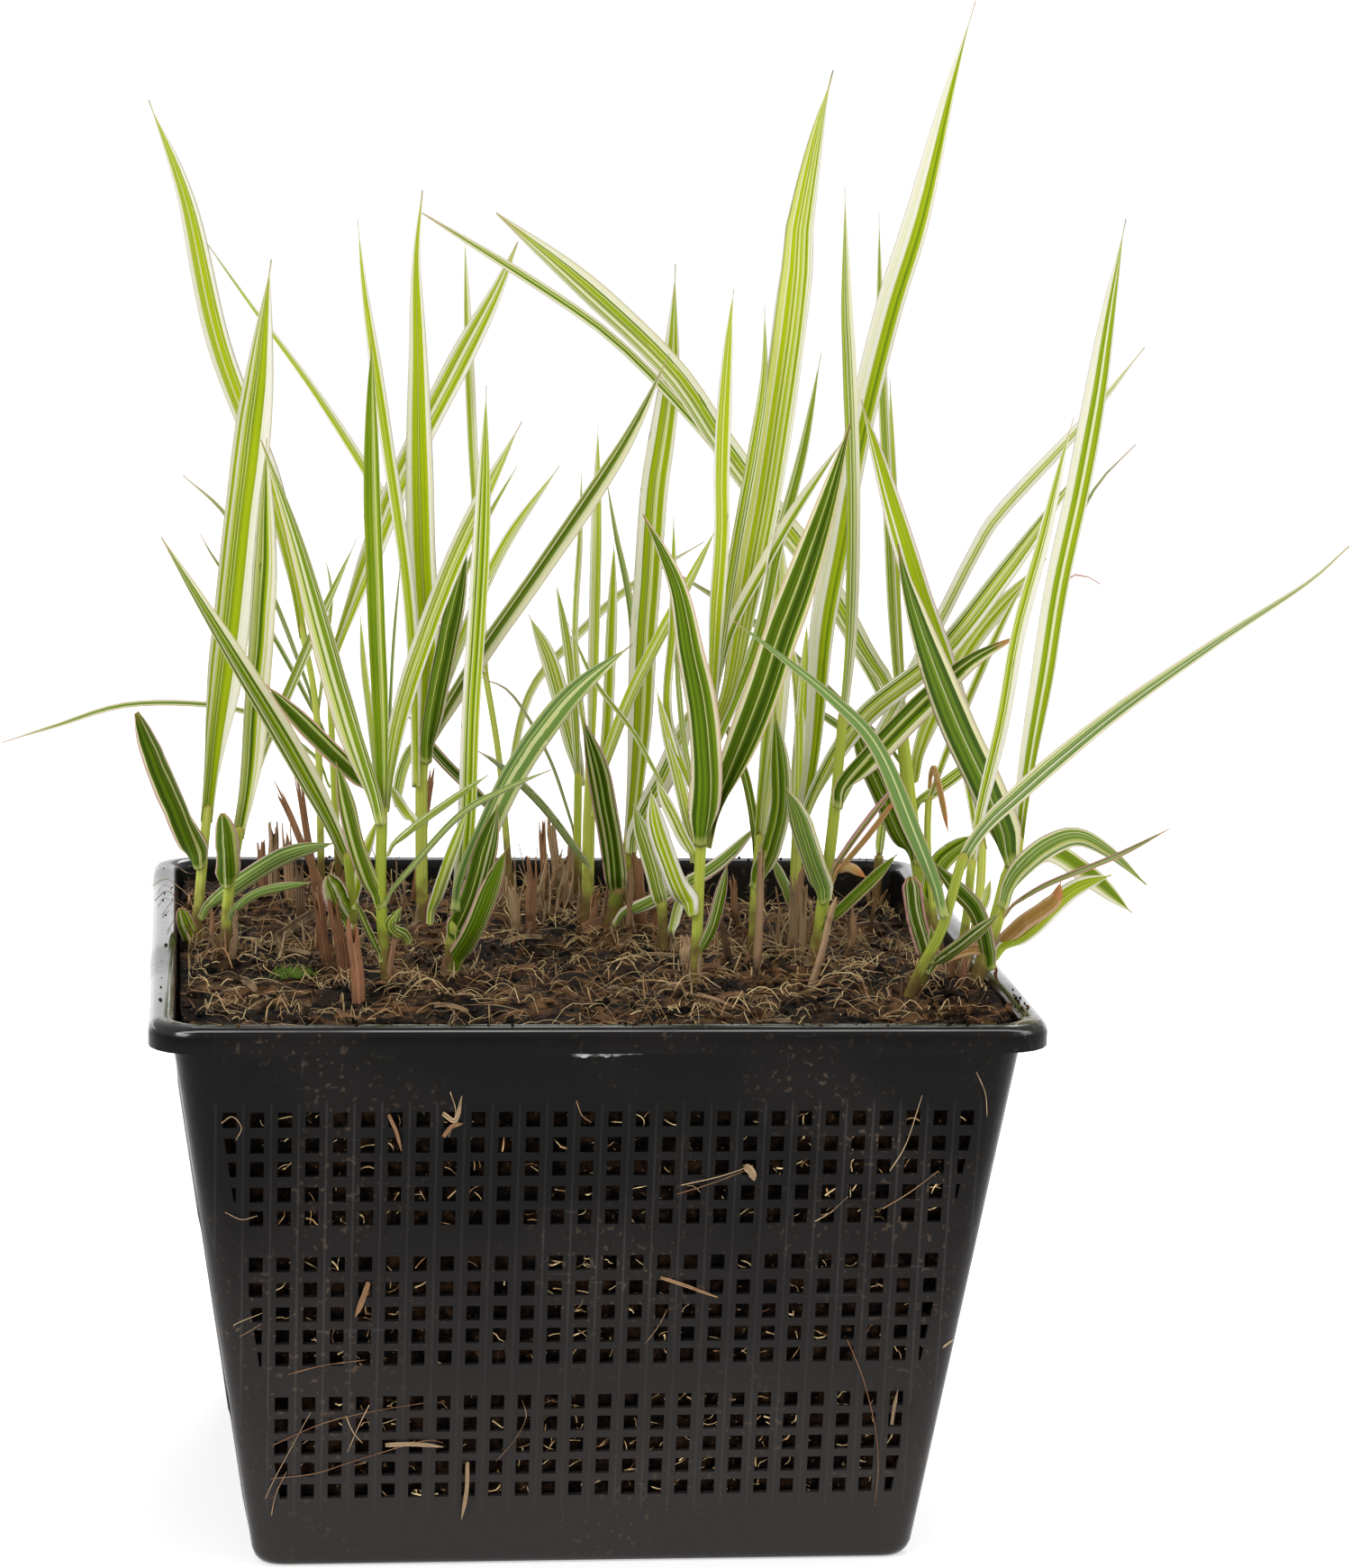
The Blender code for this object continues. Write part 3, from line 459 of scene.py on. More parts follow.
def moss_paint():
    """Bright green moss."""
    paint = Paint("moss")
    colour = paint.mix(paint.lumps(700.0, 2.0), MOSS_DARK, MOSS_BRIGHT)
    paint.set(Base_Color=colour, Roughness=0.8)
    return paint.material


def flash_paint():
    """Torn, whitened plastic."""
    paint = Paint("torn plastic")
    colour = paint.mix(paint.lumps(260.0, 3.0).ramp(0.38, 0.55), TORN_GREY, TORN_WHITE)
    paint.set(Base_Color=colour, Roughness=0.5)
    return paint.material


GRASS = grass_paint()
PLASTIC = plastic_paint()
PEAT = earth_paint()
STRAW = straw_paint("straw", (0.075, 0.040, 0.020), (0.70, 0.48, 0.28), (0.70, 0.32, 0.16), 0.75)
FIBRE = straw_paint("root fibre", (0.200, 0.105, 0.042), (1.00, 0.76, 0.40), (0.62, 0.33, 0.13))
HUSK = straw_paint("dry husk", (0.075, 0.035, 0.017), (0.66, 0.47, 0.28), (0.52, 0.30, 0.14))
MOSS = moss_paint()
FLASH = flash_paint()
print("materials:", [material.name for material in bpy.data.materials])

# %% [markdown]
# Basket and soil sizes are those of the CAD model, in metres. The soil is nearly level with the
# rim at the front and sinks toward the far right corner. A pixel is turned into a place in one
# of two ways: seen puts it at a known depth, and on_soil puts it where its line of sight meets
# the soil. So everything that is read from the photograph still stands on something.

# %% Sizes and the shape of the ground
BASKET_HEIGHT, RIM_HALF, BASE_HALF = 0.125, 0.095, 0.0719
WALL, LEDGE_WIDTH, SKIRT_DROP, CORNER_RADIUS = 0.0013, 0.0055, 0.0055, 0.0090
TAPER = (RIM_HALF - LEDGE_WIDTH + WALL - BASE_HALF) / BASKET_HEIGHT
SOIL_LEVEL, SOIL_RISE, SOIL_ROUGHNESS, SOIL_HOLLOW = 0.1213, 0.0014, 0.0016, 0.0060
MM = 0.001
# A side leaf is clear of its culm after this share of its length.
SETTLING = 0.16
# Each blade is turned a little about its own length, by an angle that its name and the seed fix.
SEED, MAX_TURN = 41, math.radians(28)
# Blender's vector noise, which roughens the crumbs, takes its seed from the clock unless it is set.
noise.seed_set(SEED)


def held(value, limit):
    """The value, kept between minus the limit and the limit."""
    return max(-limit, min(limit, value))


def outer_half(height):
    """Half the basket's outer width at a height on its wall."""
    return BASE_HALF + TAPER * height


def soil_height(x, y):
    """Height of the soil at a place."""
    lumps = noise.noise(Vector((x * 45.0, y * 45.0, 3.0))) * SOIL_ROUGHNESS
    toward_corner = min(1.0, max(0.0, (x + y - 0.04) / 0.12))
    return SOIL_LEVEL + lumps - SOIL_RISE * y / RIM_HALF - SOIL_HOLLOW * toward_corner


def sight_line(pixel):
    """Direction from the viewpoint through a photo pixel."""
    return (FORWARD + RIGHT * ((pixel[0] - PHOTO_CENTRE[0]) / FOCAL_PIXELS)
            + UP * ((PHOTO_CENTRE[1] - pixel[1]) / FOCAL_PIXELS))


def seen(pixel, depth):
    """The point on a pixel's sight line at a depth."""
    line = sight_line(pixel)
    return VIEWPOINT + line * ((depth - VIEWPOINT.y) / line.y)


def on_soil(pixel):
    """Where a pixel's sight line meets the soil."""
    line = sight_line(pixel)
    level = SOIL_LEVEL
    for _ in range(6):
        point = VIEWPOINT + line * ((level - VIEWPOINT.z) / line.z)
        level = soil_height(point.x, point.y)
    return point


print("the soil stands", soil_height(0.0, 0.0), "m high in the middle of the pot")

# %% [markdown]
# Leaves and culms follow smooth curves through points read from the photograph. At each place
# on a curve, one direction lies along it, one sideways as the viewer sees it, and one faces the
# viewer. A strip that is bent with those three directions shows its full width to the viewer.

# %% Curves


def ease(value):
    """Smooth step from nought to one."""
    value = max(0.0, min(1.0, value))
    return value * value * (3.0 - 2.0 * value)


def through(points, t):
    """Point at fraction t of a smooth curve through the points, by chord length."""
    spans = [(b - a).length for a, b in zip(points, points[1:])]
    along = max(0.0, min(1.0, t)) * sum(spans)
    index = 0
    while index < len(spans) - 1 and along > spans[index]:
        along -= spans[index]
        index += 1
    u = along / spans[index]
    a = points[index - 1] if index > 0 else points[0] * 2 - points[1]
    b, c = points[index], points[index + 1]
    d = points[index + 2] if index + 2 < len(points) else points[-1] * 2 - points[-2]
    return 0.5 * (b * 2 + (c - a) * u + (a * 2 - b * 5 + c * 4 - d) * u * u
                  + (b * 3 - a - c * 3 + d) * u * u * u)


def frame_at(points, t, turn=0.0):
    """Place, side and face directions at fraction t of a path."""
    here = through(points, t)
    along = (through(points, min(1.0, t + 0.01)) - through(points, max(0.0, t - 0.01))).normalized()
    side = along.cross((VIEWPOINT - here).normalized()).normalized()
    side = Matrix.Rotation(turn, 3, along) @ side
    return here, side, side.cross(along).normalized()


def shares(pixels):
    """Fraction of the path's length at each of its pixels."""
    spans = [math.dist(a, b) for a, b in zip(pixels, pixels[1:])]
    return [sum(spans[:index]) / sum(spans) for index in range(len(pixels))]


def turn_of(name):
    """A steady small turn about its own length for each blade."""
    return random.Random(SEED + sum(map(ord, name))).uniform(-MAX_TURN, MAX_TURN)


# %% [markdown]
# Every thin thing here, from the broadest leaf to a root hair, starts as a flat grid. Bending a
# grid keeps the place across and along it, so the marks that the materials read can be laid on
# each vertex while it is moved. Operators slow down as a mesh grows, so many small shapes are
# made in small meshes that are joined afterwards.

# %% Marks and pieces
Look = namedtuple("Look", "tone left right lines pink blue dry", defaults=(0.0, 0.0, 0.0))
MARKS = ("place", "edge", "tint", "age")


def new_piece():
    """An empty mesh that carries the marks."""
    bm = bmesh.new()
    for name in MARKS:
        bm.verts.layers.float_vector.new(name)
    return bm


def mark(bm, vertex, across, along, number, look, stem=0.0):
    """Write the marks of one vertex."""
    values = ((across, along, number), (look.left, look.right, look.pink),
              (look.tone, look.lines, look.blue), (stem, look.dry, 0.0))
    for name, value in zip(MARKS, values):
        vertex[bm.verts.layers.float_vector[name]] = value


def in_batches(count, build, batch=40):
    """Build many small shapes. Every few have a mesh of their own, which keeps the operators quick."""
    whole = new_piece()
    for start in range(0, count, batch):
        part = new_piece()
        for index in range(start, min(count, start + batch)):
            build(part, index)
        mesh = bpy.data.meshes.new("batch")
        part.to_mesh(mesh)
        part.free()
        whole.from_mesh(mesh)
        bpy.data.meshes.remove(mesh)
    return whole


def finish_piece(bm, name, material, nodes=(), sharp=None):
    """Turn a bmesh into a piece that rides on the frame."""
    bmesh.ops.recalc_face_normals(bm, faces=bm.faces)
    mesh = bpy.data.meshes.new(name)
    bm.to_mesh(mesh)
    bm.free()
    mesh.shade_smooth()
    if sharp is not None:
        mesh.set_sharp_from_angle(angle=math.radians(sharp))
    mesh.materials.append(material)
    piece = bpy.data.objects.new(name, mesh)
    bpy.context.scene.collection.objects.link(piece)
    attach(piece, "root")
    if nodes:
        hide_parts(*nodes)
    return piece


# %% [markdown]
# A blade is rolled round the culm at its foot, opens within a centimetre or so, and becomes a
# shallow gutter that narrows to a point. Most blades narrow alike. For the large ones in front,
# the table gives where the narrowing starts, where only a thread is left, and how late it comes
# (a higher power is later).

# %% Strips, blades and tubes


def each_once(items):
    """The items without repeats, in the order in which they come, which a set wouldn't keep."""
    return list(dict.fromkeys(items))


def faces_of(verts):
    """Faces, edges and vertices of a strip, for a bmesh operator."""
    faces = each_once(face for vertex in verts for face in vertex.link_faces)
    edges = each_once(edge for face in faces for edge in face.edges)
    return faces + edges + list(verts)


def strip(bm, columns, rows):
    """A flat strip; gives each vertex with its share across and its row."""
    made = bmesh.ops.create_grid(bm, x_segments=columns, y_segments=rows, size=0.5)["verts"]
    return [(vertex, vertex.co.x + 0.5, round((vertex.co.y + 0.5) * rows)) for vertex in made]


USUAL = (0.61, 0.975, 2.1)
NARROWING = {
    "front_broad": (0.35, 1.0, 1.9), "edge_broad": (0.45, 1.0, 1.6), "corner": (0.15, 1.02, 1.0),
    "corner_blue": (0.30, 1.0, 1.3), "front_dark": (0.55, 1.0, 1.6),
    "arching_broad": (0.80, 1.0, 1.5), "arching_narrow": (0.84, 1.0, 1.5),
    "left_long": (0.35, 1.0, 1.3), "left_thick": (0.50, 1.0, 1.2), "left_back_inner": (0.70, 1.0, 1.5),
    "tallest": (0.70, 0.97, 1.6), "left_inner": (0.40, 1.0, 1.5), "left_front": (0.40, 1.0, 1.6),
    "right_dark": (0.50, 1.0, 1.6), "edge_drooping": (0.40, 1.0, 1.2),
}
BLADE_THICK = 0.22 * MM


def blade_share(t, blunt, narrowing=USUAL):
    """Share of a blade's full width at fraction t: pointed (0), cut off (1) or rounded (2)."""
    if blunt == 2:
        return max(0.06, 1.0 - max(0.0, (t - 0.45) / 0.55) ** 2.4) ** 0.6
    if blunt:
        return 1.0 - 0.5 * ease((t - 0.9) / 0.1)
    shoulder, thread, power = narrowing
    return max(0.035, 1.0 - min(1.0, max(0.0, (t - shoulder) / (thread - shoulder))) ** power)


def add_blade(bm, path, wide, look, number, grip=0.9 * MM, curl=1.0, turn=0.0, blunt=0, lean=0.0,
              rows=40, columns=8, opening=3.4, round_foot=False, narrowing=USUAL):
    """Bend a strip into a blade. grip is the radius of what it is rolled round at its foot."""
    slow = 0.09 if round_foot else 0.30
    sections = []
    for row in range(rows + 1):
        t = (row / rows) ** 1.25
        open_now = ease(t / slow)
        twist = lean * (1.0 - ease(t / 0.25)) + turn * ease(t / 0.3)
        here, side, face = frame_at(path, t, twist)
        foot_width = min(opening * grip, wide * (0.95 if round_foot else 0.62))
        width = (foot_width + (wide - foot_width) * open_now) * blade_share(t, blunt, narrowing)
        rolled = foot_width / grip
        flat = 1.25 - 0.75 * t
        angle = rolled + (flat - rolled) * ease(t / (slow + 0.05))
        hold = 1.0 - ease(t / 0.1)
        sections.append((here, side, face, width, angle, hold, t))
    verts = []
    for vertex, across, row in strip(bm, columns, rows):
        here, side, face, width, angle, hold, t = sections[row]
        radius = width / angle
        reach = (across - 0.5) * angle
        ripple = noise.noise(Vector((t * 9.0, number * 3.1, across * 2.0))) * 0.05 * width * ease(t / 0.2)
        gutter = radius * (1.0 - math.cos(reach)) + abs(math.sin(reach)) * radius * 0.34
        lift = curl * (gutter - hold * radius)
        vertex.co = here + side * (radius * math.sin(reach)) + face * (lift + ripple)
        mark(bm, vertex, across, t, number, look)
        verts.append(vertex)
    bmesh.ops.solidify(bm, geom=faces_of(verts), thickness=BLADE_THICK)


def add_tube(bm, path, radius_at, look, number, rows=20, sides=10):
    """Bend a strip round a path and close it into a tube with shut ends."""
    verts = []
    rings = [frame_at(path, row / rows) for row in range(rows + 1)]
    for vertex, across, row in strip(bm, sides, rows):
        here, side, face = rings[row]
        angle = (across - 0.25) * math.tau
        radius = radius_at(row / rows)
        vertex.co = here + (side * math.cos(angle) + face * math.sin(angle)) * radius
        mark(bm, vertex, abs(across * 2.0 - 1.0), row / rows, number, look, stem=1.0)
        verts.append(vertex)
    bmesh.ops.remove_doubles(bm, verts=verts, dist=1e-7)
    verts = [vertex for vertex in verts if vertex.is_valid]
    edges = each_once(edge for vertex in verts for edge in vertex.link_edges)
    open_edges = [edge for edge in edges if edge.is_boundary]
    bmesh.ops.holes_fill(bm, edges=open_edges, sides=0)


# %% [markdown]
# The culms and leaves, read from the photograph. Paths are photo pixels from the foot up;
# widths, leans and swings are millimetres. Each look gives the tone of the green, the share of
# the width that is cream at the left and right edges, how many thin lines there are, and how
# pink, blue and dry the blade is.

# %% Culms and their top leaves
Shoot = namedtuple("Shoot", "name culm thick lean blade wide swing look blunt", defaults=(0,))
Leaf = namedtuple("Leaf", "name shoot path wide start swing look")

SHOOTS = [
    Shoot("left_edge", [(218, 1046), (221, 1000), (229, 912)], 2.6, 2,
          [(229, 912), (240, 800), (252, 700), (275, 500), (285, 420), (301, 288)], 8.8, 6,
          Look(0.72, 0.05, 0.24, 0.55)),
    Shoot("left_second", [(250, 1062), (253, 1000), (264, 930)], 2.6, 4,
          [(264, 930), (274, 870), (282, 770), (290, 650), (296, 487)], 5.8, 5,
          Look(0.6, 0.1, 0.2, 0.4)),
    Shoot("left_back", [(357, 992), (352, 800), (337, 708)], 1.8, 10,
          [(337, 708), (325, 640), (296, 530), (240, 380), (205, 220), (165, 111)], 5.8, 20,
          Look(0.85, 0.2, 0.15, 0.5)),
    Shoot("left_back_inner", [(377, 990), (369, 830), (366, 740)], 1.8, 8,
          [(366, 740), (395, 660), (445, 530), (505, 410), (550, 325), (575, 268)], 6.0, 10,
          Look(0.8, 0.12, 0.15, 0.5)),
    Shoot("left_front", [(389, 1064), (391, 1010), (387, 958)], 2.6, -3,
          [(387, 958), (360, 900), (300, 795), (225, 672), (179, 596)], 5.3, -22,
          Look(0.42, 0.04, 0.26, 0.28)),
    Shoot("left_culm", [(430, 1094), (423, 1000), (424, 910)], 2.3, 2,
          [(424, 910), (422, 830), (416, 700), (411, 550), (411, 450), (413, 368)], 3.9, -6,
          Look(0.5, 0.02, 0.03, 0.1)),
    Shoot("left_thick", [(469, 1030), (468, 960), (468, 856)], 2.7, 4,
          [(468, 856), (475, 740), (467, 600), (464, 400), (462, 290), (469, 211)], 6.8, 10,
          Look(0.85, 0.18, 0.2, 0.4)),
    Shoot("left_rear", [(567, 992), (555, 850), (539, 748)], 1.7, 5,
          [(539, 748), (533, 640), (524, 500), (519, 370), (516, 258)], 2.5, 5,
          Look(0.8, 0.1, 0.25, 0.4)),
    Shoot("centre_left", [(500, 1084), (504, 1040), (510, 997)], 3.2, -2,
          [(510, 997), (519, 900), (524, 780), (535, 600), (540, 428)], 4.2, 2,
          Look(0.7, 0.18, 0.06, 0.35)),
    Shoot("centre_back", [(641, 1004), (641, 940), (642, 864)], 2.2, 4,
          [(642, 864), (633, 740), (617, 645)], 2.5, 6, Look(0.75, 0.15, 0.15, 0.4)),
    Shoot("centre_pale", [(653, 1026), (653, 950), (656, 844)], 2.9, 4,
          [(656, 844), (659, 750), (662, 620), (664, 470)], 2.8, 6, Look(0.85, 0.2, 0.1, 0.5)),
    Shoot("centre_dark", [(676, 1037), (681, 1012), (686, 993)], 4.0, 0,
          [(686, 993), (682, 950), (674, 900), (664, 850), (647, 796)], 5.7, -8,
          Look(0.22, 0.05, 0.08, 0.15, 0.9)),
    Shoot("centre_tall", [(693, 1008), (695, 980), (698, 948)], 3.0, -4,
          [(698, 948), (703, 900), (708, 850), (712, 800), (714, 750), (716, 700), (720, 650),
           (727, 550), (734, 500), (741, 450), (746, 395), (750, 293)], 6.8, 4,
          Look(0.65, 0.24, 0.15, 0.3)),
    Shoot("centre_short", [(737, 1058), (736, 1030), (735, 1005)], 2.4, 2,
          [(735, 1005), (724, 965), (714, 930), (703, 892)], 4.0, 4, Look(0.6, 0.15, 0.1, 0.3)),
    Shoot("front", [(772, 1092), (775, 1010), (778, 943), (784, 860), (790, 790)], 2.3, 8,
          [(790, 790), (796, 700), (803, 600), (803, 530), (806, 450), (811, 360), (815, 320)], 3.6, 4,
          Look(0.85, 0.1, 0.22, 0.5)),
    Shoot("right_mid", [(836, 1060), (838, 1000), (843, 936)], 2.4, 3,
          [(843, 936), (850, 860), (860, 760), (864, 700), (868, 588)], 5.6, 4,
          Look(0.82, 0.08, 0.2, 0.5)),
    Shoot("right_culm", [(904, 1070), (914, 1000), (925, 915), (935, 806)], 2.7, 2,
          [(935, 806), (946, 700), (949, 550), (944, 400), (941, 340), (938, 207)], 3.2, -4,
          Look(0.55, 0.03, 0.35, 0.3)),
    Shoot("tallest", [(884, 1050), (883, 1000), (885, 936)], 2.6, -1,
          [(885, 936), (902, 830), (912, 700), (930, 600), (948, 500), (984, 351), (1018, 241),
           (1053, 103), (1083, 1)], 6.3, -8, Look(0.78, 0.46, 0.12, 0.35)),
    Shoot("right_rear", [(972, 1010), (974, 980), (976, 950)], 2.6, 0,
          [(976, 950), (979, 925), (982, 900)], 2.4, 0, Look(0.7, 0.1, 0.1, 0.3), 1),
    Shoot("corner", [(1006, 1114), (1021, 1078), (1046, 1030), (1066, 962)], 2.6, -6,
          [(1066, 962), (1080, 935), (1100, 910), (1125, 887), (1175, 843), (1250, 783), (1350, 713),
           (1450, 648), (1498, 606)], 4.7, -10, Look(0.42, 0.10, 0.16, -0.05, 0.0, 0.75)),
    Shoot("corner_back", [(1026, 1060), (1030, 1010), (1018, 955), (1003, 826)], 3.0, 8,
          [(1003, 826), (993, 700), (984, 500), (978, 360), (976, 236)], 2.5, 20,
          Look(0.6, 0.1, 0.2, 0.4)),
    Shoot("corner_cut", [(1014, 1104), (1024, 1080), (1030, 1062)], 3.0, -3,
          [(1030, 1062), (1018, 1020), (1011, 973)], 4.3, -4, Look(0.24, 0.0, 0.03, 0.1, 1.2), 1),
    Shoot("edge_front", [(1055, 1081), (1070, 1040), (1078, 968)], 2.3, -16,
          [(1078, 968), (1089, 900), (1113, 800), (1131, 700), (1158, 600), (1182, 500), (1192, 464)],
          3.3, -4, Look(0.8, 0.1, 0.35, 0.4)),
    Shoot("edge", [(1080, 1098), (1104, 1029), (1121, 966), (1128, 945)], 3.2, 12,
          [(1128, 945), (1139, 850), (1155, 750), (1171, 650), (1193, 550), (1212, 450), (1229, 350),
           (1250, 243)], 5.5, 30, Look(0.72, 0.42, 0.06, 0.35)),
    Shoot("edge_back", [(1068, 1088), (1080, 1045), (1088, 990), (1090, 943)], 2.4, 26,
          [(1090, 943), (1070, 830), (1042, 730), (1015, 655), (993, 580), (963, 470), (956, 443)],
          5.6, -4, Look(0.78, 0.2, 0.1, 0.4, 0.35)),
    Shoot("edge_pale", [(1044, 1068), (1036, 1010), (1030, 940), (1031, 890)], 1.8, 14,
          [(1031, 890), (1055, 825), (1105, 708), (1140, 640)], 2.0, 4, Look(0.7, 0.2, 0.2, 0.4)),
]
print(len(SHOOTS), "culms are listed")

# %% [markdown]
# The large side leaves are pieces of their own, as in the CAD model. Start is how far a leaf's
# root lies behind its culm.

# %% Side leaves
LEAVES = [
    Leaf("left_blunt", "left_edge", [(222, 962), (210, 925), (180, 855), (152, 791)], 5.8, -2.5, -14,
         Look(0.22, 0.10, 0.10, 0.22, 0.8)),
    Leaf("left_short", "left_second", [(252, 982), (250, 945), (247, 903)], 5.6, -3, -3,
         Look(0.24, 0.06, 0.06, 0.32, 0.9)),
    Leaf("left_drooping", "left_back_inner", [(369, 872), (345, 836), (270, 789), (150, 781), (60, 806),
         (2, 824)], 1.3, 2.5, 25, Look(0.45, 0.2, 0.1, 0.3, 0.2, 0.4)),
    Leaf("left_inner", "left_culm", [(423, 914), (400, 840), (370, 740), (330, 600), (290, 488)], 5.6,
         -3, -12, Look(0.52, 0.10, 0.08, 0.6, 0.4)),
    Leaf("left_leaning", "left_culm", [(426, 900), (440, 800), (470, 702), (520, 580), (579, 468)], 4.4,
         4, 12, Look(0.7, 0.24, 0.08, 0.35)),
    Leaf("left_narrow", "left_thick", [(462, 872), (459, 760), (450, 640), (425, 470), (405, 330),
         (397, 243)], 3.1, -3, 3, Look(0.8, 0.2, 0.2, 0.6)),
    Leaf("left_dark", "left_thick", [(473, 844), (478, 795), (495, 705), (520, 603)], 5.0, -6, -6,
         Look(0.26, 0.05, 0.08, 0.05, 0.3)),
    Leaf("left_twisted", "left_thick", [(466, 862), (482, 815), (530, 730), (600, 630), (667, 532),
         (705, 470), (743, 393)], 4.3, 3, -6, Look(0.42, 0.08, 0.24, 0.3)),
    Leaf("left_long", "left_rear", [(538, 745), (500, 680), (430, 560), (350, 435), (280, 340),
         (230, 270)], 2.9, -2, 15, Look(0.78, 0.15, 0.25, 0.5)),
    Leaf("centre_blue", "centre_left", [(506, 1008), (517, 972), (535, 925), (575, 845), (630, 772),
         (702, 715)], 5.5, -4, -4, Look(0.38, 0.04, 0.05, 0.22, 0.0, 0.5)),
    Leaf("centre_striped", "centre_back", [(645, 872), (632, 815), (610, 735), (587, 682)], 4.6, 3, 8,
         Look(0.6, 0.18, 0.18, 0.4)),
    Leaf("centre_upright", "centre_pale", [(658, 890), (671, 830), (677, 720), (682, 598)], 2.8, 3, 6,
         Look(0.8, 0.15, 0.2, 0.5)),
    Leaf("centre_leaning", "centre_pale", [(658, 905), (672, 845), (705, 760), (765, 645), (797, 583)],
         2.9, -3, 4, Look(0.85, 0.08, 0.08, 0.5)),
    Leaf("centre_white", "centre_tall", [(700, 945), (714, 900), (740, 850), (769, 780)], 5.6, -4, -8,
         Look(0.6, 0.32, 0.32, 0.5)),
    Leaf("front_broad", "front", [(777, 938), (781, 870), (775, 787), (763, 723), (752, 659),
         (736, 615), (714, 571)], 7.0, -3, -6, Look(0.26, 0.17, 0.10, -0.30, 0.5)),
    Leaf("front_low", "front", [(769, 1014), (752, 975), (733, 920), (722, 876)], 4.7, -2.5, -4,
         Look(0.7, 0.15, 0.3, 0.4)),
    Leaf("front_dark", "front", [(784, 940), (801, 880), (843, 775), (865, 710), (887, 650), (917, 560),
         (944, 470)], 8.0, 3, 4, Look(0.22, 0.15, 0.08, -0.20, 0.4)),
    Leaf("front_tall", "front", [(790, 814), (815, 760), (832, 670), (854, 550), (870, 450), (889, 300),
         (891, 255), (911, 138), (925, 78)], 7.6, 7, 8, Look(0.82, 0.03, 0.12, 0.6)),
    Leaf("mid_curved", "right_mid", [(839, 985), (858, 940), (869, 880), (861, 790)], 4.9, -3, -3,
         Look(0.36, 0.05, 0.16, 0.28)),
    Leaf("right_low", "right_culm", [(916, 1000), (898, 950), (884, 905), (873, 874)], 5.2, -3, -3,
         Look(0.40, 0.08, 0.12, 0.20, 0.0, 0.4)),
    Leaf("right_upright", "tallest", [(884, 950), (886, 860), (893, 770), (896, 688)], 3.4, 3, 3,
         Look(0.85, 0.1, 0.2, 0.5)),
    Leaf("right_dark", "right_culm", [(929, 895), (940, 870), (985, 820), (1035, 770), (1080, 732),
         (1131, 705)], 5.8, -3, 4, Look(0.24, 0.06, 0.22, -0.10, 0.5, 0.0, 0.5)),
    Leaf("right_pale", "right_culm", [(931, 888), (985, 800), (1040, 697), (1083, 613), (1112, 568),
         (1200, 473), (1271, 385)], 3.1, 11, 44, Look(0.7, 0.34, 0.3, 0.4)),
    Leaf("right_long", "tallest", [(886, 918), (950, 805), (1040, 728), (1115, 635), (1204, 515)], 5.0,
         -7, -12, Look(0.62, 0.12, 0.18, 0.5)),
    Leaf("corner_bright", "corner_back", [(1013, 864), (1035, 800), (1083, 710), (1162, 620)], 4.5, 9,
         12, Look(0.75, 0.1, 0.2, 0.45)),
    Leaf("corner_broad", "corner_back", [(1019, 955), (1000, 920), (972, 855), (944, 798)], 7.0, -3, 8,
         Look(0.28, 0.04, 0.06, 0.0, 0.3)),
    Leaf("arching_broad", "corner_back", [(1001, 826), (985, 765), (960, 725), (907, 632), (850, 558),
         (800, 490), (745, 410), (650, 318), (551, 236)], 6.0, 5, 36, Look(0.58, 0.06, 0.24, 0.5)),
    Leaf("arching_narrow", "corner_back", [(1012, 872), (993, 808), (958, 735), (880, 605), (790, 490),
         (690, 384), (600, 318), (467, 235)], 2.2, 12, 46, Look(0.5, 0.15, 0.15, 0.4, 0.0, 0.2)),
    Leaf("corner_blue", "corner", [(1050, 1016), (1018, 930), (975, 830), (925, 775), (850, 715),
         (815, 689)], 4.0, -3, -2, Look(0.40, 0.08, 0.05, -0.30, 0.5, 0.75)),
    Leaf("edge_broad", "edge", [(1124, 960), (1097, 880), (1062, 805), (1030, 720), (1006, 645),
         (997, 604)], 8.2, -3, 22, Look(0.32, 0.10, 0.18, -0.10, 0.2, 0.15, 0.1)),
    Leaf("edge_drooping", "edge", [(1112, 1004), (1140, 962), (1190, 932), (1232, 948), (1273, 982)],
         5.2, -3, -14, Look(0.5, 0.1, 0.15, 0.4, 0.3, 0.4)),
    Leaf("edge_bent", "edge", [(1118, 985), (1160, 945), (1205, 968), (1257, 1013)], 4.6, 5, -4,
         Look(0.5, 0.1, 0.2, 0.4)),
]
print(len(LEAVES), "large side leaves are listed")

# %% [markdown]
# The small leaves belong to their shoot and are part of its piece. Some are only threads.

# %% Small leaves
GREEN = Look(0.6, 0.05, 0.10, 0.4)
DARK = Look(0.18, 0.03, 0.05, 0.18, 0.8)
ROSY = Look(0.30, 0.05, 0.07, 0.25, 1.0)
BLUISH = Look(0.42, 0.06, 0.09, 0.25, 0.4, 0.5)
PALE = Look(0.8, 0.14, 0.18, 0.5)
WITHERED = Look(0.4, 0.2, 0.2, 0.3, 0.2, 0.0, 1.7)

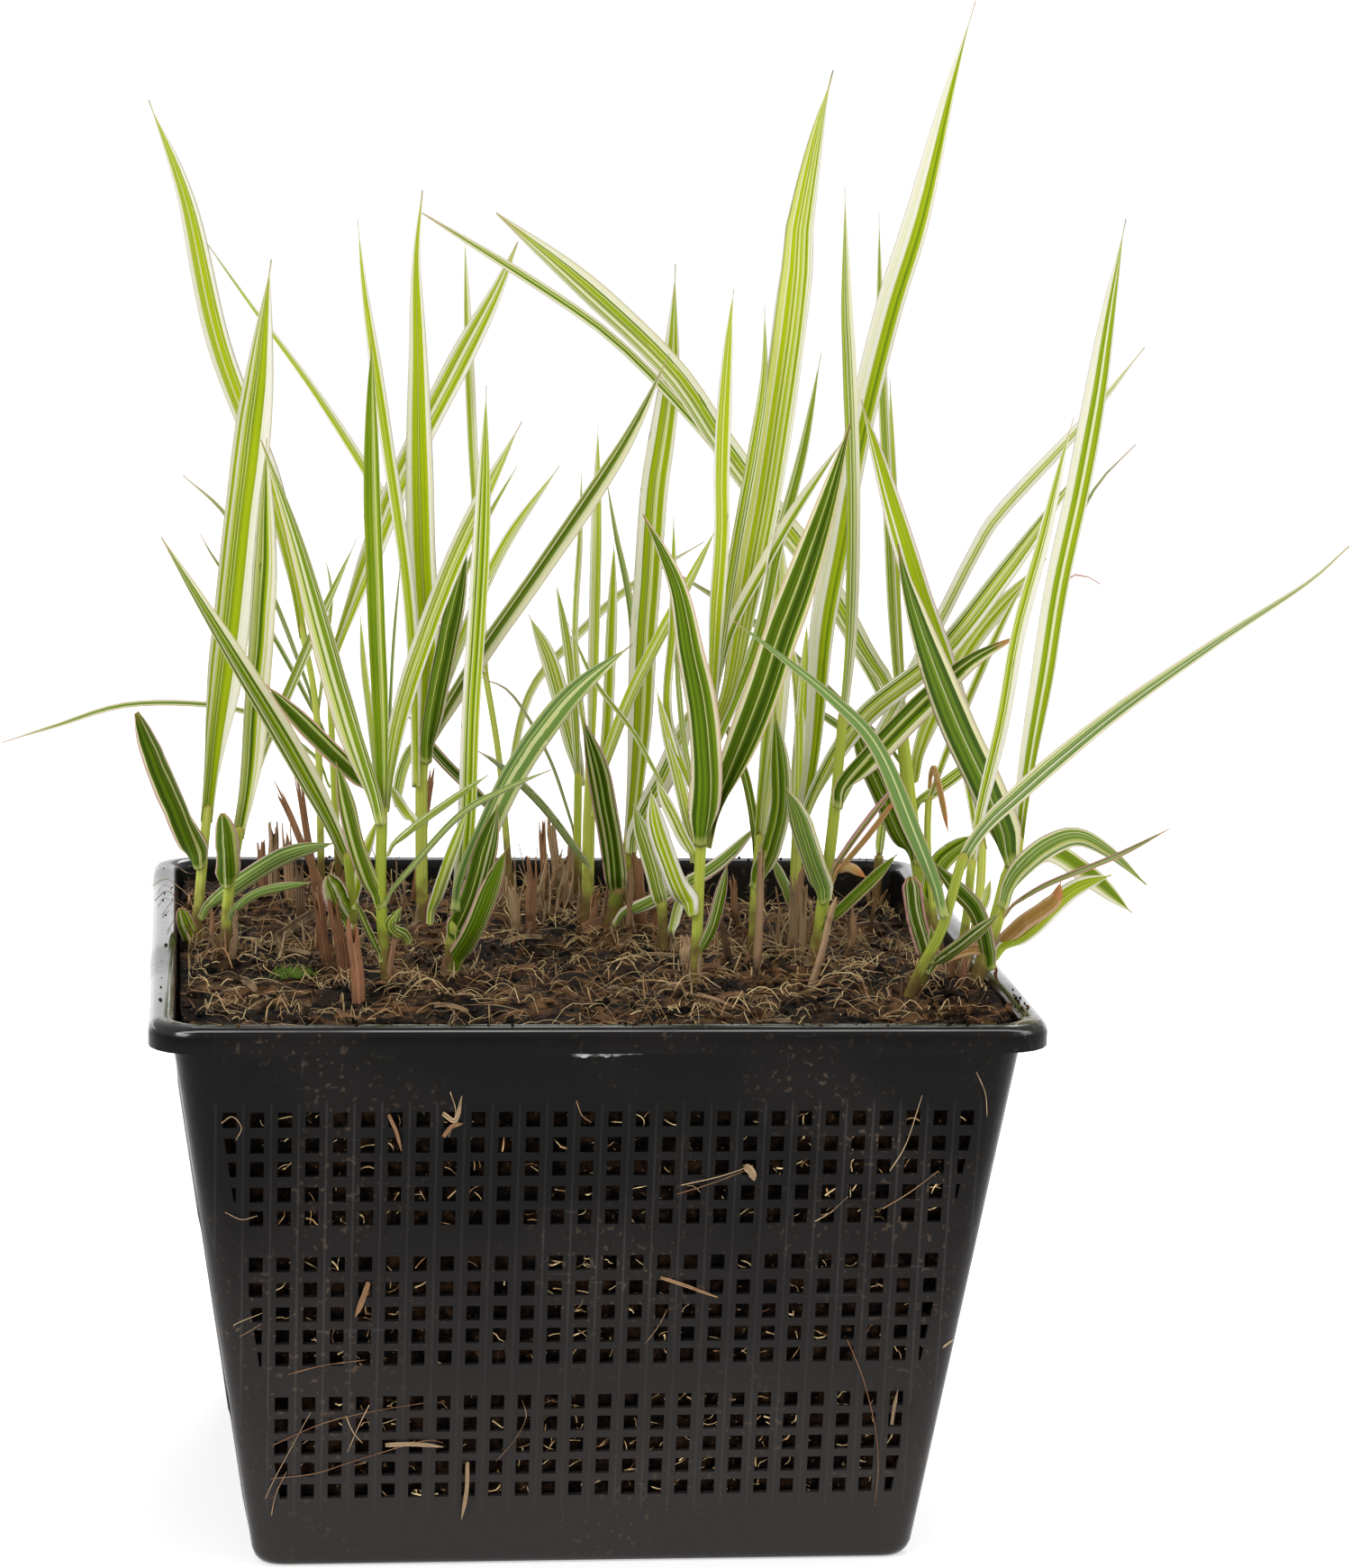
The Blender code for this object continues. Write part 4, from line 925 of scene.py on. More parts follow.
SMALL_LEAVES = [
    Leaf("stray", "left_back", [(352, 790), (300, 655), (252, 573), (203, 527)], 1.2, 2, 8, BLUISH),
    Leaf("tip", "left_back", [(352, 800), (362, 720), (368, 660), (361, 617)], 1.0, 2, 3, GREEN),
    Leaf("stray", "left_back_inner", [(369, 830), (300, 700), (243, 627), (222, 592)], 1.2, 3, 8, BLUISH),
    Leaf("low", "left_edge", [(222, 1016), (255, 990), (312, 953), (372, 935)], 4.1, -3, -8, BLUISH),
    Leaf("stubby", "left_edge", [(217, 1050), (209, 1032), (200, 1008)], 4.2, -2, -3,
         Look(0.4, 0.06, 0.06, 0.3, 1.0)),
    Leaf("thin", "left_second", [(263, 936), (285, 850), (312, 785), (352, 693), (396, 598)], 2.3, 3,
         12, GREEN),
    Leaf("dry", "left_second", [(252, 1018), (285, 991), (345, 979)], 2.0, -3, -6, BLUISH),
    Leaf("rounded", "left_front", [(390, 1026), (377, 998), (364, 972)], 6.2, -3, -5,
         Look(0.42, 0.12, 0.12, 0.35, 1.0)),
    Leaf("upright", "left_front", [(393, 1006), (401, 960), (419, 909)], 2.4, -2, -4, PALE),
    Leaf("pink", "left_culm", [(423, 1006), (398, 940), (386, 890), (373, 845)], 4.0, -2, -6, ROSY),
    Leaf("thin", "left_culm", [(423, 1004), (455, 965), (510, 905), (560, 876), (612, 854)], 1.4, -2,
         -10, BLUISH),
    Leaf("sheath", "left_culm", [(424, 1064), (408, 1030), (394, 998)], 1.6, -2, -4, ROSY),
    Leaf("line", "left_culm", [(428, 945), (465, 915), (542, 860)], 1.6, -2, -4, GREEN),
    Leaf("straight", "left_culm", [(424, 905), (410, 790), (403, 730), (400, 680)], 1.7, 3, 3, PALE),
    Leaf("slender", "left_culm", [(427, 930), (430, 850), (436, 720), (446, 610)], 0.8, 4, 4, BLUISH),
    Leaf("dusky", "left_culm", [(423, 890), (405, 868), (365, 830), (320, 785), (296, 760)], 4.2, 4, 6,
         DARK),
    Leaf("back", "left_culm", [(462, 914), (448, 895), (433, 870)], 2.4, 4, 2, PALE),
    Leaf("stub", "left_thick", [(440, 895), (450, 850), (470, 812)], 2.7, 2, 0, GREEN),
    Leaf("bright", "left_thick", [(478, 812), (510, 720), (560, 608), (621, 517)], 2.7, 5, 8, PALE),
    Leaf("thread", "left_thick", [(500, 690), (535, 590), (574, 517)], 1.0, 9, 8, GREEN),
    Leaf("dusky", "left_rear", [(560, 912), (530, 882), (488, 840), (450, 790)], 2.8, 3, 2, DARK),
    Leaf("far", "left_rear", [(560, 905), (585, 775), (640, 705), (700, 650), (782, 601)], 2.1, 2, 4,
         PALE),
    Leaf("dark", "centre_left", [(504, 1042), (525, 990), (553, 893)], 5.6, -6, -5, DARK),
    Leaf("pink", "centre_left", [(502, 1074), (528, 1030), (563, 940)], 4.6, -8, -6, ROSY),
    Leaf("low", "centre_left", [(476, 1020), (495, 965), (520, 896)], 2.8, -8, -4, GREEN),
    Leaf("curl", "centre_left", [(452, 1040), (437, 1028), (446, 1006)], 3.0, -6, -2,
         Look(0.4, 0.03, 0.05, 0.4)),
    Leaf("thread", "centre_back", [(641, 935), (612, 845), (570, 772), (535, 752)], 0.8, 2, 8, BLUISH),
    Leaf("arched", "centre_pale", [(657, 964), (640, 945), (600, 893), (555, 850), (530, 833)], 1.9, -2,
         -10, BLUISH),
    Leaf("side", "centre_pale", [(655, 852), (639, 720), (644, 600), (646, 518)], 1.6, -2, -3, PALE),
    Leaf("dull", "centre_tall", [(698, 952), (703, 830), (703, 690), (684, 590), (672, 524)], 1.8, 3, 4,
         BLUISH),
    Leaf("lying", "centre_dark", [(680, 1020), (720, 1000), (790, 962), (846, 912)], 3.3, -4, -4,
         Look(0.5, 0.2, 0.15, 0.4, 0.9, 0.3)),
    Leaf("thread", "centre_short", [(742, 885), (703, 812), (660, 755), (630, 690)], 1.1, 12, 6, GREEN),
    Leaf("sheath", "centre_short", [(744, 1040), (752, 1005), (764, 970)], 2.4, 2, 2, PALE),
    Leaf("pale", "front", [(775, 956), (758, 880), (728, 762)], 2.9, 7, 6, PALE),
    Leaf("side", "front", [(772, 955), (748, 905), (728, 864)], 2.8, 2, 2, PALE),
    Leaf("young", "front", [(773, 1064), (792, 1025), (808, 958)], 2.8, -2, -4, ROSY),
    Leaf("thread", "front", [(770, 880), (757, 800), (749, 690)], 1.4, 12, 2, GREEN),
    Leaf("hidden", "front", [(780, 905), (741, 800), (746, 690), (748, 568)], 2.1, 11, 6, PALE),
    Leaf("upper", "front", [(789, 802), (811, 650), (838, 500), (849, 420), (849, 338)], 2.6, 3, 4,
         GREEN),
    Leaf("cream", "front", [(789, 796), (808, 705), (850, 622), (885, 562), (938, 486)], 2.7, 4, 2,
         Look(0.5, 0.5, 0.1, 0.4)),
    Leaf("bright", "front", [(786, 860), (796, 822), (840, 705), (862, 605), (890, 500), (912, 391)],
         2.8, 16, 10, GREEN),
    Leaf("pink", "right_mid", [(842, 950), (826, 862), (797, 784)], 2.1, 3, 3, ROSY),
    Leaf("low", "tallest", [(884, 1016), (874, 985), (856, 948)], 2.4, -4, -4, BLUISH),
    Leaf("side", "tallest", [(886, 930), (886, 780), (872, 692)], 2.8, 3, 4, PALE),
    Leaf("pink", "right_culm", [(910, 1030), (958, 985), (996, 948)], 2.8, -4, -8, ROSY),
    Leaf("twin", "right_culm", [(920, 972), (955, 922), (997, 868)], 1.5, -2, -8,
         Look(0.4, 0.1, 0.1, 0.3, 1.9)),
    Leaf("thread", "right_culm", [(922, 976), (962, 930), (1003, 876)], 1.3, -4, -8, WITHERED),
    Leaf("curled", "right_culm", [(922, 968), (942, 962), (962, 974)], 2.2, -2, -3, WITHERED),
    Leaf("far", "corner_back", [(1006, 845), (945, 790), (850, 700), (742, 630)], 1.9, 4, 40, BLUISH),
    Leaf("upper", "corner_back", [(1004, 824), (996, 640), (992, 520), (988, 418)], 2.1, 6, 20, PALE),
    Leaf("side", "corner_back", [(1006, 870), (950, 820), (880, 772)], 1.9, 4, 10, BLUISH),
    Leaf("right", "corner_back", [(1014, 895), (1040, 877), (1092, 838)], 2.9, 2, 10, GREEN),
    Leaf("low", "corner_cut", [(1030, 1074), (1062, 1052), (1110, 1014)], 2.9, -5, -6, DARK),
    Leaf("pink", "corner_cut", [(1034, 1062), (1035, 1045), (1034, 1026)], 1.8, -5, -2, ROSY),
    Leaf("sheath", "edge_front", [(1078, 1018), (1092, 1005), (1100, 976)], 2.0, 3, 2, PALE),
    Leaf("thin", "edge", [(1111, 1014), (1160, 983), (1240, 950), (1298, 920)], 1.2, -4, -20,
         Look(0.4, 0.1, 0.1, 0.3, 1.7)),
    Leaf("light", "edge", [(1102, 1060), (1145, 1030), (1190, 988), (1234, 971)], 4.2, -3, -16,
         Look(0.7, 0.15, 0.15, 0.4, 0.3)),
    Leaf("dry", "edge", [(1106, 1052), (1132, 1026), (1158, 1008), (1172, 996), (1178, 978)], 3.6, -4,
         -20, WITHERED),
    Leaf("grey", "edge", [(1116, 985), (1139, 850), (1158, 740), (1182, 620), (1215, 543), (1261, 493)],
         1.2, 3, 36, Look(0.4, 0.2, 0.2, 0.0, 0.9, 0.9)),
    Leaf("tip", "edge", [(1116, 985), (1140, 850), (1158, 740), (1178, 650), (1200, 638), (1222, 648)],
         0.9, 3, 34, Look(0.4, 0.2, 0.2, 0.0, 0.9, 0.9)),
    Leaf("dark", "edge", [(1099, 1072), (1085, 1015), (1060, 985), (1037, 957)], 4.0, -5, -2, DARK),
    Leaf("hanging", "edge_pale", [(1031, 872), (1037, 852), (1046, 886), (1053, 925)], 1.5, -1, -3,
         WITHERED),
    Leaf("arch", "corner_cut", [(1034, 1072), (1060, 1058), (1090, 1054), (1110, 1082)], 2.4, 6, 8,
         WITHERED),
    Leaf("round", "edge_pale", [(1033, 1000), (1045, 960), (1078, 930)], 5.0, 3, 2,
         Look(0.5, 0.03, 0.03, 0.1)),
]

# %% [markdown]
# A culm is a tube that is a little thicker below each leaf, where the leaf's sheath still wraps
# it. It is sunk a few millimetres into the soil. Its path leans back or forward by its own
# amount, so the roots of its side leaves are placed at the depth it has at their height.

# %% Culms
ROOT_DEPTH = 0.004


def culm_path(shoot):
    """World points of a culm from foot to collar."""
    foot = on_soil(shoot.culm[0])
    return [seen(pixel, foot.y + shoot.lean * MM * share)
            for pixel, share in zip(shoot.culm, shares(shoot.culm))]


def culm_depth(shoot, pixel):
    """How far back a culm lies at the height of a pixel."""
    points = culm_path(shoot)
    reach = (shoot.culm[0][1] - pixel[1]) / (shoot.culm[0][1] - shoot.culm[-1][1])
    return points[0].y + (points[-1].y - points[0].y) * max(0.0, min(1.0, reach))


def culm_radius(shoot, collars):
    """Radius along a culm: one more sheath below each collar, and a swollen foot."""
    radius = shoot.thick / 2 * MM

    def at(t):
        wraps = sum(1 for collar in collars if t < collar)
        foot = 1.0 + 0.12 * (1.0 - ease(t / 0.3))
        tip = 1.0 - 0.9 * ease((t - 0.97) / 0.03)
        return radius * (0.90 + 0.05 * min(wraps, 4)) * foot * tip
    return at


def grow_culm(bm, shoot, number):
    """Tube of a culm with its sheaths."""
    path = culm_path(shoot)
    down = (path[1] - path[0]).normalized()
    reach = through([seen(p, path[-1].y) for p in shoot.blade], 0.03)
    path = [path[0] - down * ROOT_DEPTH, *path, reach]
    tall = shoot.culm[0][1] - shoot.culm[-1][1]
    collars = [(shoot.culm[0][1] - leaf.path[0][1]) / tall for leaf in LEAVES + SMALL_LEAVES
               if leaf.shoot == shoot.name]
    add_tube(bm, path, culm_radius(shoot, collars), shoot.look, number, rows=26)


print("the front culm stands on", tuple(culm_path(SHOOTS[14])[0]))

# %% [markdown]
# Leaves are grown last. A side leaf starts at its culm and swings away from it or toward the
# viewer, more and more toward the tip, because the photograph gives no depth. The large leaves
# replace solids of their own; the small ones are part of their shoot.

# %% Grow the shoots
# The blades of the first set keep a broad round foot. Those of the second have a round tip too.
ROUND_FOOT = {"left_blunt", "left_short", "front_broad", "front_low", "mid_curved", "right_low",
              "edge_broad", "corner_broad", "centre_dark", "centre_short", "rounded", "round",
              "centre_left", "dark", "pink", "corner_cut", "stubby"}
ROUND_TIP = {"left_blunt", "left_short", "rounded", "round", "stubby"}


def leaf_path(leaf, shoot, own_piece):
    """World points of a side leaf from root to tip."""
    root = culm_depth(shoot, leaf.path[0])
    touch = shoot.thick / 2 + 0.2 if own_piece else 0.0
    touch = math.copysign(min(touch, abs(leaf.start)), leaf.start)
    points = []
    for pixel, share in zip(leaf.path, shares(leaf.path)):
        start = touch + (leaf.start - touch) * min(1.0, share / SETTLING)
        points.append(seen(pixel, root + (start + leaf.swing * share ** 1.3) * MM))
    return points


def grow_leaf(bm, leaf, shoot, own_piece, number):
    """Blade of a side leaf, rolled round its culm at the root."""
    path = leaf_path(leaf, shoot, own_piece)
    curl = 1.0 if leaf.start > 0 else -1.0
    turn = turn_of(leaf.shoot + ("leaf_" if own_piece else "") + leaf.name)
    away = (through(path, 0.15) - path[0]).dot(RIGHT) / ((through(path, 0.15) - path[0]).length + 1e-9)
    lean = -curl * math.atan2(away * 1.2, 0.7)
    grip = (shoot.thick / 2 + 0.25) * MM
    add_blade(bm, path, leaf.wide * MM / math.cos(turn), leaf.look, number, grip, curl, turn, lean=lean,
              rows=36 if leaf.wide > 2.2 else 26, columns=8 if leaf.wide > 2.2 else 4,
              round_foot=leaf.name in ROUND_FOOT, blunt=2 if leaf.name in ROUND_TIP else 0,
              narrowing=NARROWING.get(leaf.name, USUAL))


def grow_shoot(shoot, number):
    """Culm, top leaf and small leaves in one piece."""
    bm = new_piece()
    grow_culm(bm, shoot, number)
    root = culm_path(shoot)[-1].y
    path = [seen(pixel, root + shoot.swing * MM * share ** 1.3)
            for pixel, share in zip(shoot.blade, shares(shoot.blade))]
    turn = turn_of(shoot.name)
    add_blade(bm, path, shoot.wide * MM / math.cos(turn), shoot.look, number, (shoot.thick / 2 + 0.1) * MM,
              1.0, turn, shoot.blunt, rows=44, opening=4.6, round_foot=shoot.name in ROUND_FOOT,
              narrowing=NARROWING.get(shoot.name, USUAL))
    for index, leaf in enumerate(SMALL_LEAVES):
        if leaf.shoot == shoot.name:
            grow_leaf(bm, leaf, shoot, False, number + 0.37 * (index + 1))
    finish_piece(bm, "culm_" + shoot.name, GRASS, ["shoot_" + shoot.name])


def grow_all():
    """Every shoot and every large leaf."""
    by_name = {shoot.name: shoot for shoot in SHOOTS}
    for number, shoot in enumerate(SHOOTS):
        grow_shoot(shoot, number * 1.7)
    for number, leaf in enumerate(LEAVES):
        bm = new_piece()
        grow_leaf(bm, leaf, by_name[leaf.shoot], True, number * 1.3 + 60.0)
        finish_piece(bm, "blade_" + leaf.name, GRASS, ["leaf_" + leaf.name])


grow_all()
print("grown:", len(SHOOTS), "shoots,", len(LEAVES), "large leaves and", len(SMALL_LEAVES), "small ones")

# %% [markdown]
# The basket is one moulded sheet. It could be cut out of a solid box, but cutting hundreds of
# holes is slow and leaves ragged faces. So it is planned as a flat strip instead, with a column
# on each side of every hole and one on every bar. The holes stop at a slanted plain border
# beside each corner. Above the wall the sheet turns out into a flat ledge and down into a skirt.

# %% Plan of the basket
# Heights of the rows of holes in the upper, middle and lower band, in metres.
HOLE_ROWS = ((0.10366, 0.09789, 0.09258, 0.08684, 0.08149),
             (0.07094, 0.06512, 0.05948, 0.05425, 0.04920),
             (0.03863, 0.03353, 0.02841, 0.02327, 0.01812))
HOLE_COLUMNS, HOLE_WIDTH, HOLE_TALL = 28, 0.0029, 0.0034
PLAIN_BORDER, RIB = 0.0078, 0.00050
RIBS_FROM, RIBS_TO, PLAIN_TOP = 0.0130, 0.1085, 0.1150
INNER_BEND, OUTER_BEND = 0.0008, 0.0012


def basket_columns():
    """Places across one side: hole edges, the rib of each bar, and the plain border."""
    places = []
    for column in range(HOLE_COLUMNS):
        middle = (column - (HOLE_COLUMNS - 1) / 2) * COLUMN_PITCH
        places += [("rib", middle - COLUMN_PITCH / 2), ("edge", middle - HOLE_WIDTH / 2),
                   ("edge", middle + HOLE_WIDTH / 2)]
    return places + [("rib", HOLE_COLUMNS * COLUMN_PITCH / 2)]


def basket_rows():
    """Half width and height of each row up the wall, over the ledge and down the skirt."""
    top = BASKET_HEIGHT - WALL
    rim = RIM_HALF - WALL
    rows = [(BASE_HALF - 0.0022, 0.0, "plain"), (BASE_HALF - 0.0009, 0.0005, "plain"),
            (BASE_HALF - 0.0001, 0.0016, "plain"), (outer_half(0.0032), 0.0032, "plain"),
            (outer_half(RIBS_FROM), RIBS_FROM, "rib")]
    for band in reversed(HOLE_ROWS):
        for middle in reversed(band):
            rows += [(outer_half(z), z, "hole") for z in (middle - HOLE_TALL / 2, middle + HOLE_TALL / 2)]
    rows += [(outer_half(RIBS_TO), RIBS_TO, "rib"), (outer_half(PLAIN_TOP), PLAIN_TOP, "plain")]
    quarter = [step / 3 * math.pi / 2 for step in range(4)]
    rows += [(outer_half(top) + INNER_BEND * (1 - math.cos(angle)),
              top - INNER_BEND * (1 - math.sin(angle)), "plain") for angle in quarter]
    rows += [(rim - OUTER_BEND * (1 - math.sin(angle)),
              top - OUTER_BEND * (1 - math.cos(angle)), "plain") for angle in quarter]
    return rows + [(rim, BASKET_HEIGHT - SKIRT_DROP, "plain")]


def wrap_point(side, kind, across, half, height, out):
    """Place of a point of the strip when it is wrapped round the pot."""
    radius = max(0.004, CORNER_RADIUS - (RIM_HALF - half) * 0.15)
    turn = Matrix.Rotation(side * math.pi / 2, 3, "Z")
    if kind == "corner":
        angle = across * math.pi / 2
        core = half - radius
        return turn @ Vector((core + radius * math.sin(angle), -(core + radius * math.cos(angle)), height))
    limit = half - (max(PLAIN_BORDER, radius) if height <= PLAIN_TOP else radius)
    return turn @ Vector((held(across, limit), -half - out, height))


print("the wall has", len(basket_columns()), "columns a side and", len(basket_rows()), "rows")

# %% [markdown]
# The floor is a plate with cut corners and rows of short slots that let water in. It is a grid
# whose lines are moved to the edges of the slots. The faces of the slots are taken out, and
# the rest is raised to the thickness of the wall.

# %% Floor of the basket
# Half the plate, how far its cut corners reach, and where its border ends.
PLATE_HALF, PLATE_CORNER, PLATE_BORDER = 0.0694, 0.0677, 0.0655
SLOT_MIDDLES, SLOT_HALF = (-0.045, -0.030, 0.030, 0.045), 0.00225
SLOT_NEAR, SLOT_FAR = 0.013, 0.047


def add_floor(bm):
    """Plate with two rows of short slots."""
    slots = [middle + side for middle in SLOT_MIDDLES for side in (-SLOT_HALF, SLOT_HALF)]
    xs = [-PLATE_HALF, -PLATE_BORDER, *slots, PLATE_BORDER, PLATE_HALF]
    far = [SLOT_NEAR, SLOT_FAR, PLATE_BORDER, PLATE_HALF]
    ys = [-y for y in reversed(far)] + far
    plate = {}
    taken = []
    for vertex, across, row in strip(bm, len(xs) - 1, len(ys) - 1):
        column = round(across * (len(xs) - 1))
        corner = column in (0, len(xs) - 1) and row in (0, len(ys) - 1)
        vertex.co = Vector((xs[column], ys[row], 0.0)) * (PLATE_CORNER / PLATE_HALF if corner else 1.0)
        plate[vertex] = (column, row)
    faces = each_once(face for vertex in plate for face in vertex.link_faces)
    for face in faces:
        column = min(plate[vertex][0] for vertex in face.verts)
        row = min(plate[vertex][1] for vertex in face.verts)
        if column in (2, 4, 6, 8) and row in (2, 4):
            taken.append(face)
    bmesh.ops.delete(bm, geom=taken, context="FACES")
    made = bmesh.ops.extrude_face_region(bm, geom=[face for face in faces if face.is_valid])
    raised = [item for item in made["geom"] if isinstance(item, bmesh.types.BMVert)]
    bmesh.ops.translate(bm, vec=(0.0, 0.0, WALL), verts=raised)


# %% [markdown]
# Now the strip is wrapped once round the pot and stitched where it meets itself. The faces of
# the holes are taken out before the sheet is given its thickness, so every hole gets its walls
# from the same step.

# %% Mould the basket
CORNER_STEPS = 5


def make_basket():
    """Perforated sheet with ledge, skirt and slotted floor."""
    places = []
    for side in range(4):
        places += [(side, kind, across) for kind, across in basket_columns()]
        places += [(side, "corner", step / CORNER_STEPS) for step in range(CORNER_STEPS + 1)]
    places.append((4, *basket_columns()[0]))
    rows = basket_rows()
    bm = new_piece()
    holes = []
    seat = {}
    for vertex, across, row in strip(bm, len(places) - 1, len(rows) - 1):
        column = round(across * (len(places) - 1))
        side, kind, x = places[column]
        half, height, zone = rows[row]
        out = RIB if kind == "rib" and zone in ("rib", "hole") and abs(x) < half - PLAIN_BORDER else 0.0
        seat[vertex] = (column, row)
        vertex.co = wrap_point(side, kind, x, half, height, out)
    for face in bm.faces:
        column = min(seat[vertex][0] for vertex in face.verts)
        row = min(seat[vertex][1] for vertex in face.verts)
        if places[column][1] == places[min(column + 1, len(places) - 1)][1] == "edge":
            low, high = rows[row], rows[row + 1]
            if low[2] == high[2] == "hole" and (row - 5) % 2 == 0 and face.calc_area() > 1e-6:
                holes.append(face)
    bmesh.ops.delete(bm, geom=holes, context="FACES")
    bmesh.ops.remove_doubles(bm, verts=bm.verts, dist=2e-5)
    bmesh.ops.dissolve_degenerate(bm, edges=bm.edges, dist=1e-6)
    bmesh.ops.recalc_face_normals(bm, faces=bm.faces)
    bmesh.ops.solidify(bm, geom=list(bm.faces), thickness=-WALL)
    add_floor(bm)
    piece = finish_piece(bm, "planting_basket", PLASTIC, ["basket"], 40)
    print("basket:", len(piece.data.polygons), "faces,", len(holes), "holes")


make_basket()

# %% [markdown]
# The soil is a cube that is divided finely, squeezed to the taper of the pot, and roughened.
# It fills the pot, so the same dark peat shows through every hole. Its sides are roughened
# inward only, so that it never comes through the wall. It is heaped a little at the front
# right. The crumbs on it are small uneven balls, because a ball of few faces looks like a
# broken lump.

# %% Soil
SOIL_CUTS, CRUMBS = 84, 2300
BASE_GAP, SIDE_GAP = 0.0016, 0.0005
# The share by which the block's upright edges are cut back, and the height of the heap.
EDGE_CUT, HEAP = 0.018, 0.0016
# Crumbs lie this near the middle of the pot on each axis, in metres.
CRUMB_REACH = 0.087


def soil_roughness(point):
    """Fine unevenness of peat."""
    coarse = noise.noise(point * 120.0) * 1.5 + noise.noise(point * 300.0) * 1.0
    return (coarse + noise.noise(point * 800.0) * 0.5) * MM


def make_soil():
    """Roughened block of peat."""
    bm = bmesh.new()
    bmesh.ops.create_cube(bm, size=2.0)
    bmesh.ops.subdivide_edges(bm, edges=bm.edges, cuts=SOIL_CUTS, use_grid_fill=True)
    for vertex in bm.verts:
        x, y, z = vertex.co
        height = BASE_GAP + (SOIL_LEVEL - BASE_GAP) * (z + 1) / 2
        half = outer_half(height) - WALL - SIDE_GAP
        cut = 1 - EDGE_CUT * (abs(x) * abs(y)) ** 8
        spot = Vector((x * half * cut, y * half * cut, height))
        level = soil_height(spot.x, spot.y)
        spot.z = BASE_GAP + (level - BASE_GAP) * (z + 1) / 2
        rough = soil_roughness(spot)
        if z > 0.999:
            rim = 1.0 - ease((max(abs(x), abs(y)) - 0.9) / 0.1)
            heap = ease((x - 0.80) / 0.15) * (1.0 - ease((y + 0.3) / 0.4))
            spot.z += (rough * 1.1 + 0.0003) * (0.4 + 0.6 * rim) + heap * HEAP
        elif z > -0.999:
            inward = max(0.0, 0.0006 - rough)
            if abs(x) > 0.999:
                spot.x -= math.copysign(inward, x)
            if abs(y) > 0.999:
                spot.y -= math.copysign(inward, y)
        vertex.co = spot
    finish_piece(bm, "peat", PEAT, ["soil"])


def within_wall(x, y, gap):
    """The place held inside the wall and its rounded corners, with a gap to it."""
    core = outer_half(SOIL_LEVEL) - CORNER_RADIUS
    room = outer_half(SOIL_LEVEL) - WALL - gap
    x, y = held(x, room), held(y, room)
    past = Vector((max(0.0, abs(x) - core), max(0.0, abs(y) - core)))
    if past.length > room - core:
        past *= (room - core) / past.length
        x, y = math.copysign(core + past.x, x), math.copysign(core + past.y, y)
    return x, y


def add_lump(bm, spot, size, shape=Matrix(), grain=900.0, rough=0.6):
    """A small uneven ball."""
    place = Matrix.Translation(spot) @ shape
    made = bmesh.ops.create_icosphere(bm, subdivisions=1, radius=size, matrix=place)["verts"]
    for vertex in made:
        vertex.co += noise.noise_vector(vertex.co * grain) * size * rough


def make_crumbs():
    """Small lumps of peat on the surface."""
    chance = random.Random(7)

    def crumb(bm, index):
        x, y = chance.uniform(-CRUMB_REACH, CRUMB_REACH), chance.uniform(-CRUMB_REACH, CRUMB_REACH)
        size = chance.uniform(0.0003, 0.0013) * (1.0 if chance.random() < 0.93 else 1.8)
        x, y = within_wall(x, y, size * 1.5)
        spot = Vector((x, y, soil_height(x, y) + size * 0.3))
        spot.z += soil_roughness(spot)
        wide, deep, tall = chance.uniform(0.7, 1.4), chance.uniform(0.7, 1.4), chance.uniform(0.5, 0.9)
        turn = Matrix.Rotation(chance.uniform(0, 6.28), 4, "Z")
        add_lump(bm, spot, size, turn @ Matrix.Diagonal((wide, deep, tall, 1)), 700.0, 0.5)

    finish_piece(in_batches(CRUMBS, crumb, 80), "peat_crumbs", PEAT, sharp=30)


make_soil()
make_crumbs()
print("the soil and", CRUMBS, "crumbs are laid")

# %% [markdown]
# Root fibres are thin threads that wander over the peat, dip into it and come out again. Others
# curl inside the holes of the wall, on all four sides. Each is a three-sided tube, because
# nobody can see the section of a hair and there are thousands of them.

# %% Root fibres
PLAIN = Look(0.5, 0.0, 0.0, 0.0)
FIBRES, WALL_ROOTS = 1500, 1500
# Threads, stubs and their feet stay this near the middle of the pot, in metres.
THREAD_REACH, FOOT_REACH = 0.0865, 0.085


def wander(chance, start, heading, length, steps, lift):
    """Points of a thread that lies on the soil."""
    points = [start]
    for _ in range(steps):
        heading += chance.uniform(-1.1, 1.1)
        step = Vector((math.cos(heading), math.sin(heading), 0.0)) * length / steps
        spot = points[-1] + step
        spot.x, spot.y = held(spot.x, THREAD_REACH), held(spot.y, THREAD_REACH)
        spot.z = soil_height(spot.x, spot.y) + chance.uniform(-0.0006, lift)
        points.append(spot)
    return points


def make_fibres():
    """Fine root threads on the soil, thickest round the shoots."""
    chance = random.Random(12)
    feet = [on_soil(shoot.culm[0]) for shoot in SHOOTS]

    def fibre(bm, index):
        x, y = chance.uniform(-0.086, 0.086), chance.uniform(-0.086, 0.086)
        if index % 3 == 0:
            foot = chance.choice(feet)
            x, y = foot.x + chance.gauss(0, 0.009), foot.y + chance.gauss(0, 0.009)
        x, y = held(x, FOOT_REACH), held(y, FOOT_REACH)
        thick = chance.choice((0.06, 0.08, 0.10, 0.13, 0.19)) * MM
        length = chance.uniform(0.005, 0.024)
        lift = chance.choice((0.0014, 0.0024, 0.0050))
        path = wander(chance, Vector((x, y, soil_height(x, y))), chance.uniform(0, 6.28), length, 5, lift)
        add_tube(bm, path, lambda t: thick * (1.0 - 0.6 * t), PLAIN, index * 0.31, rows=11, sides=3)

    finish_piece(in_batches(FIBRES, fibre), "root_fibres", FIBRE)


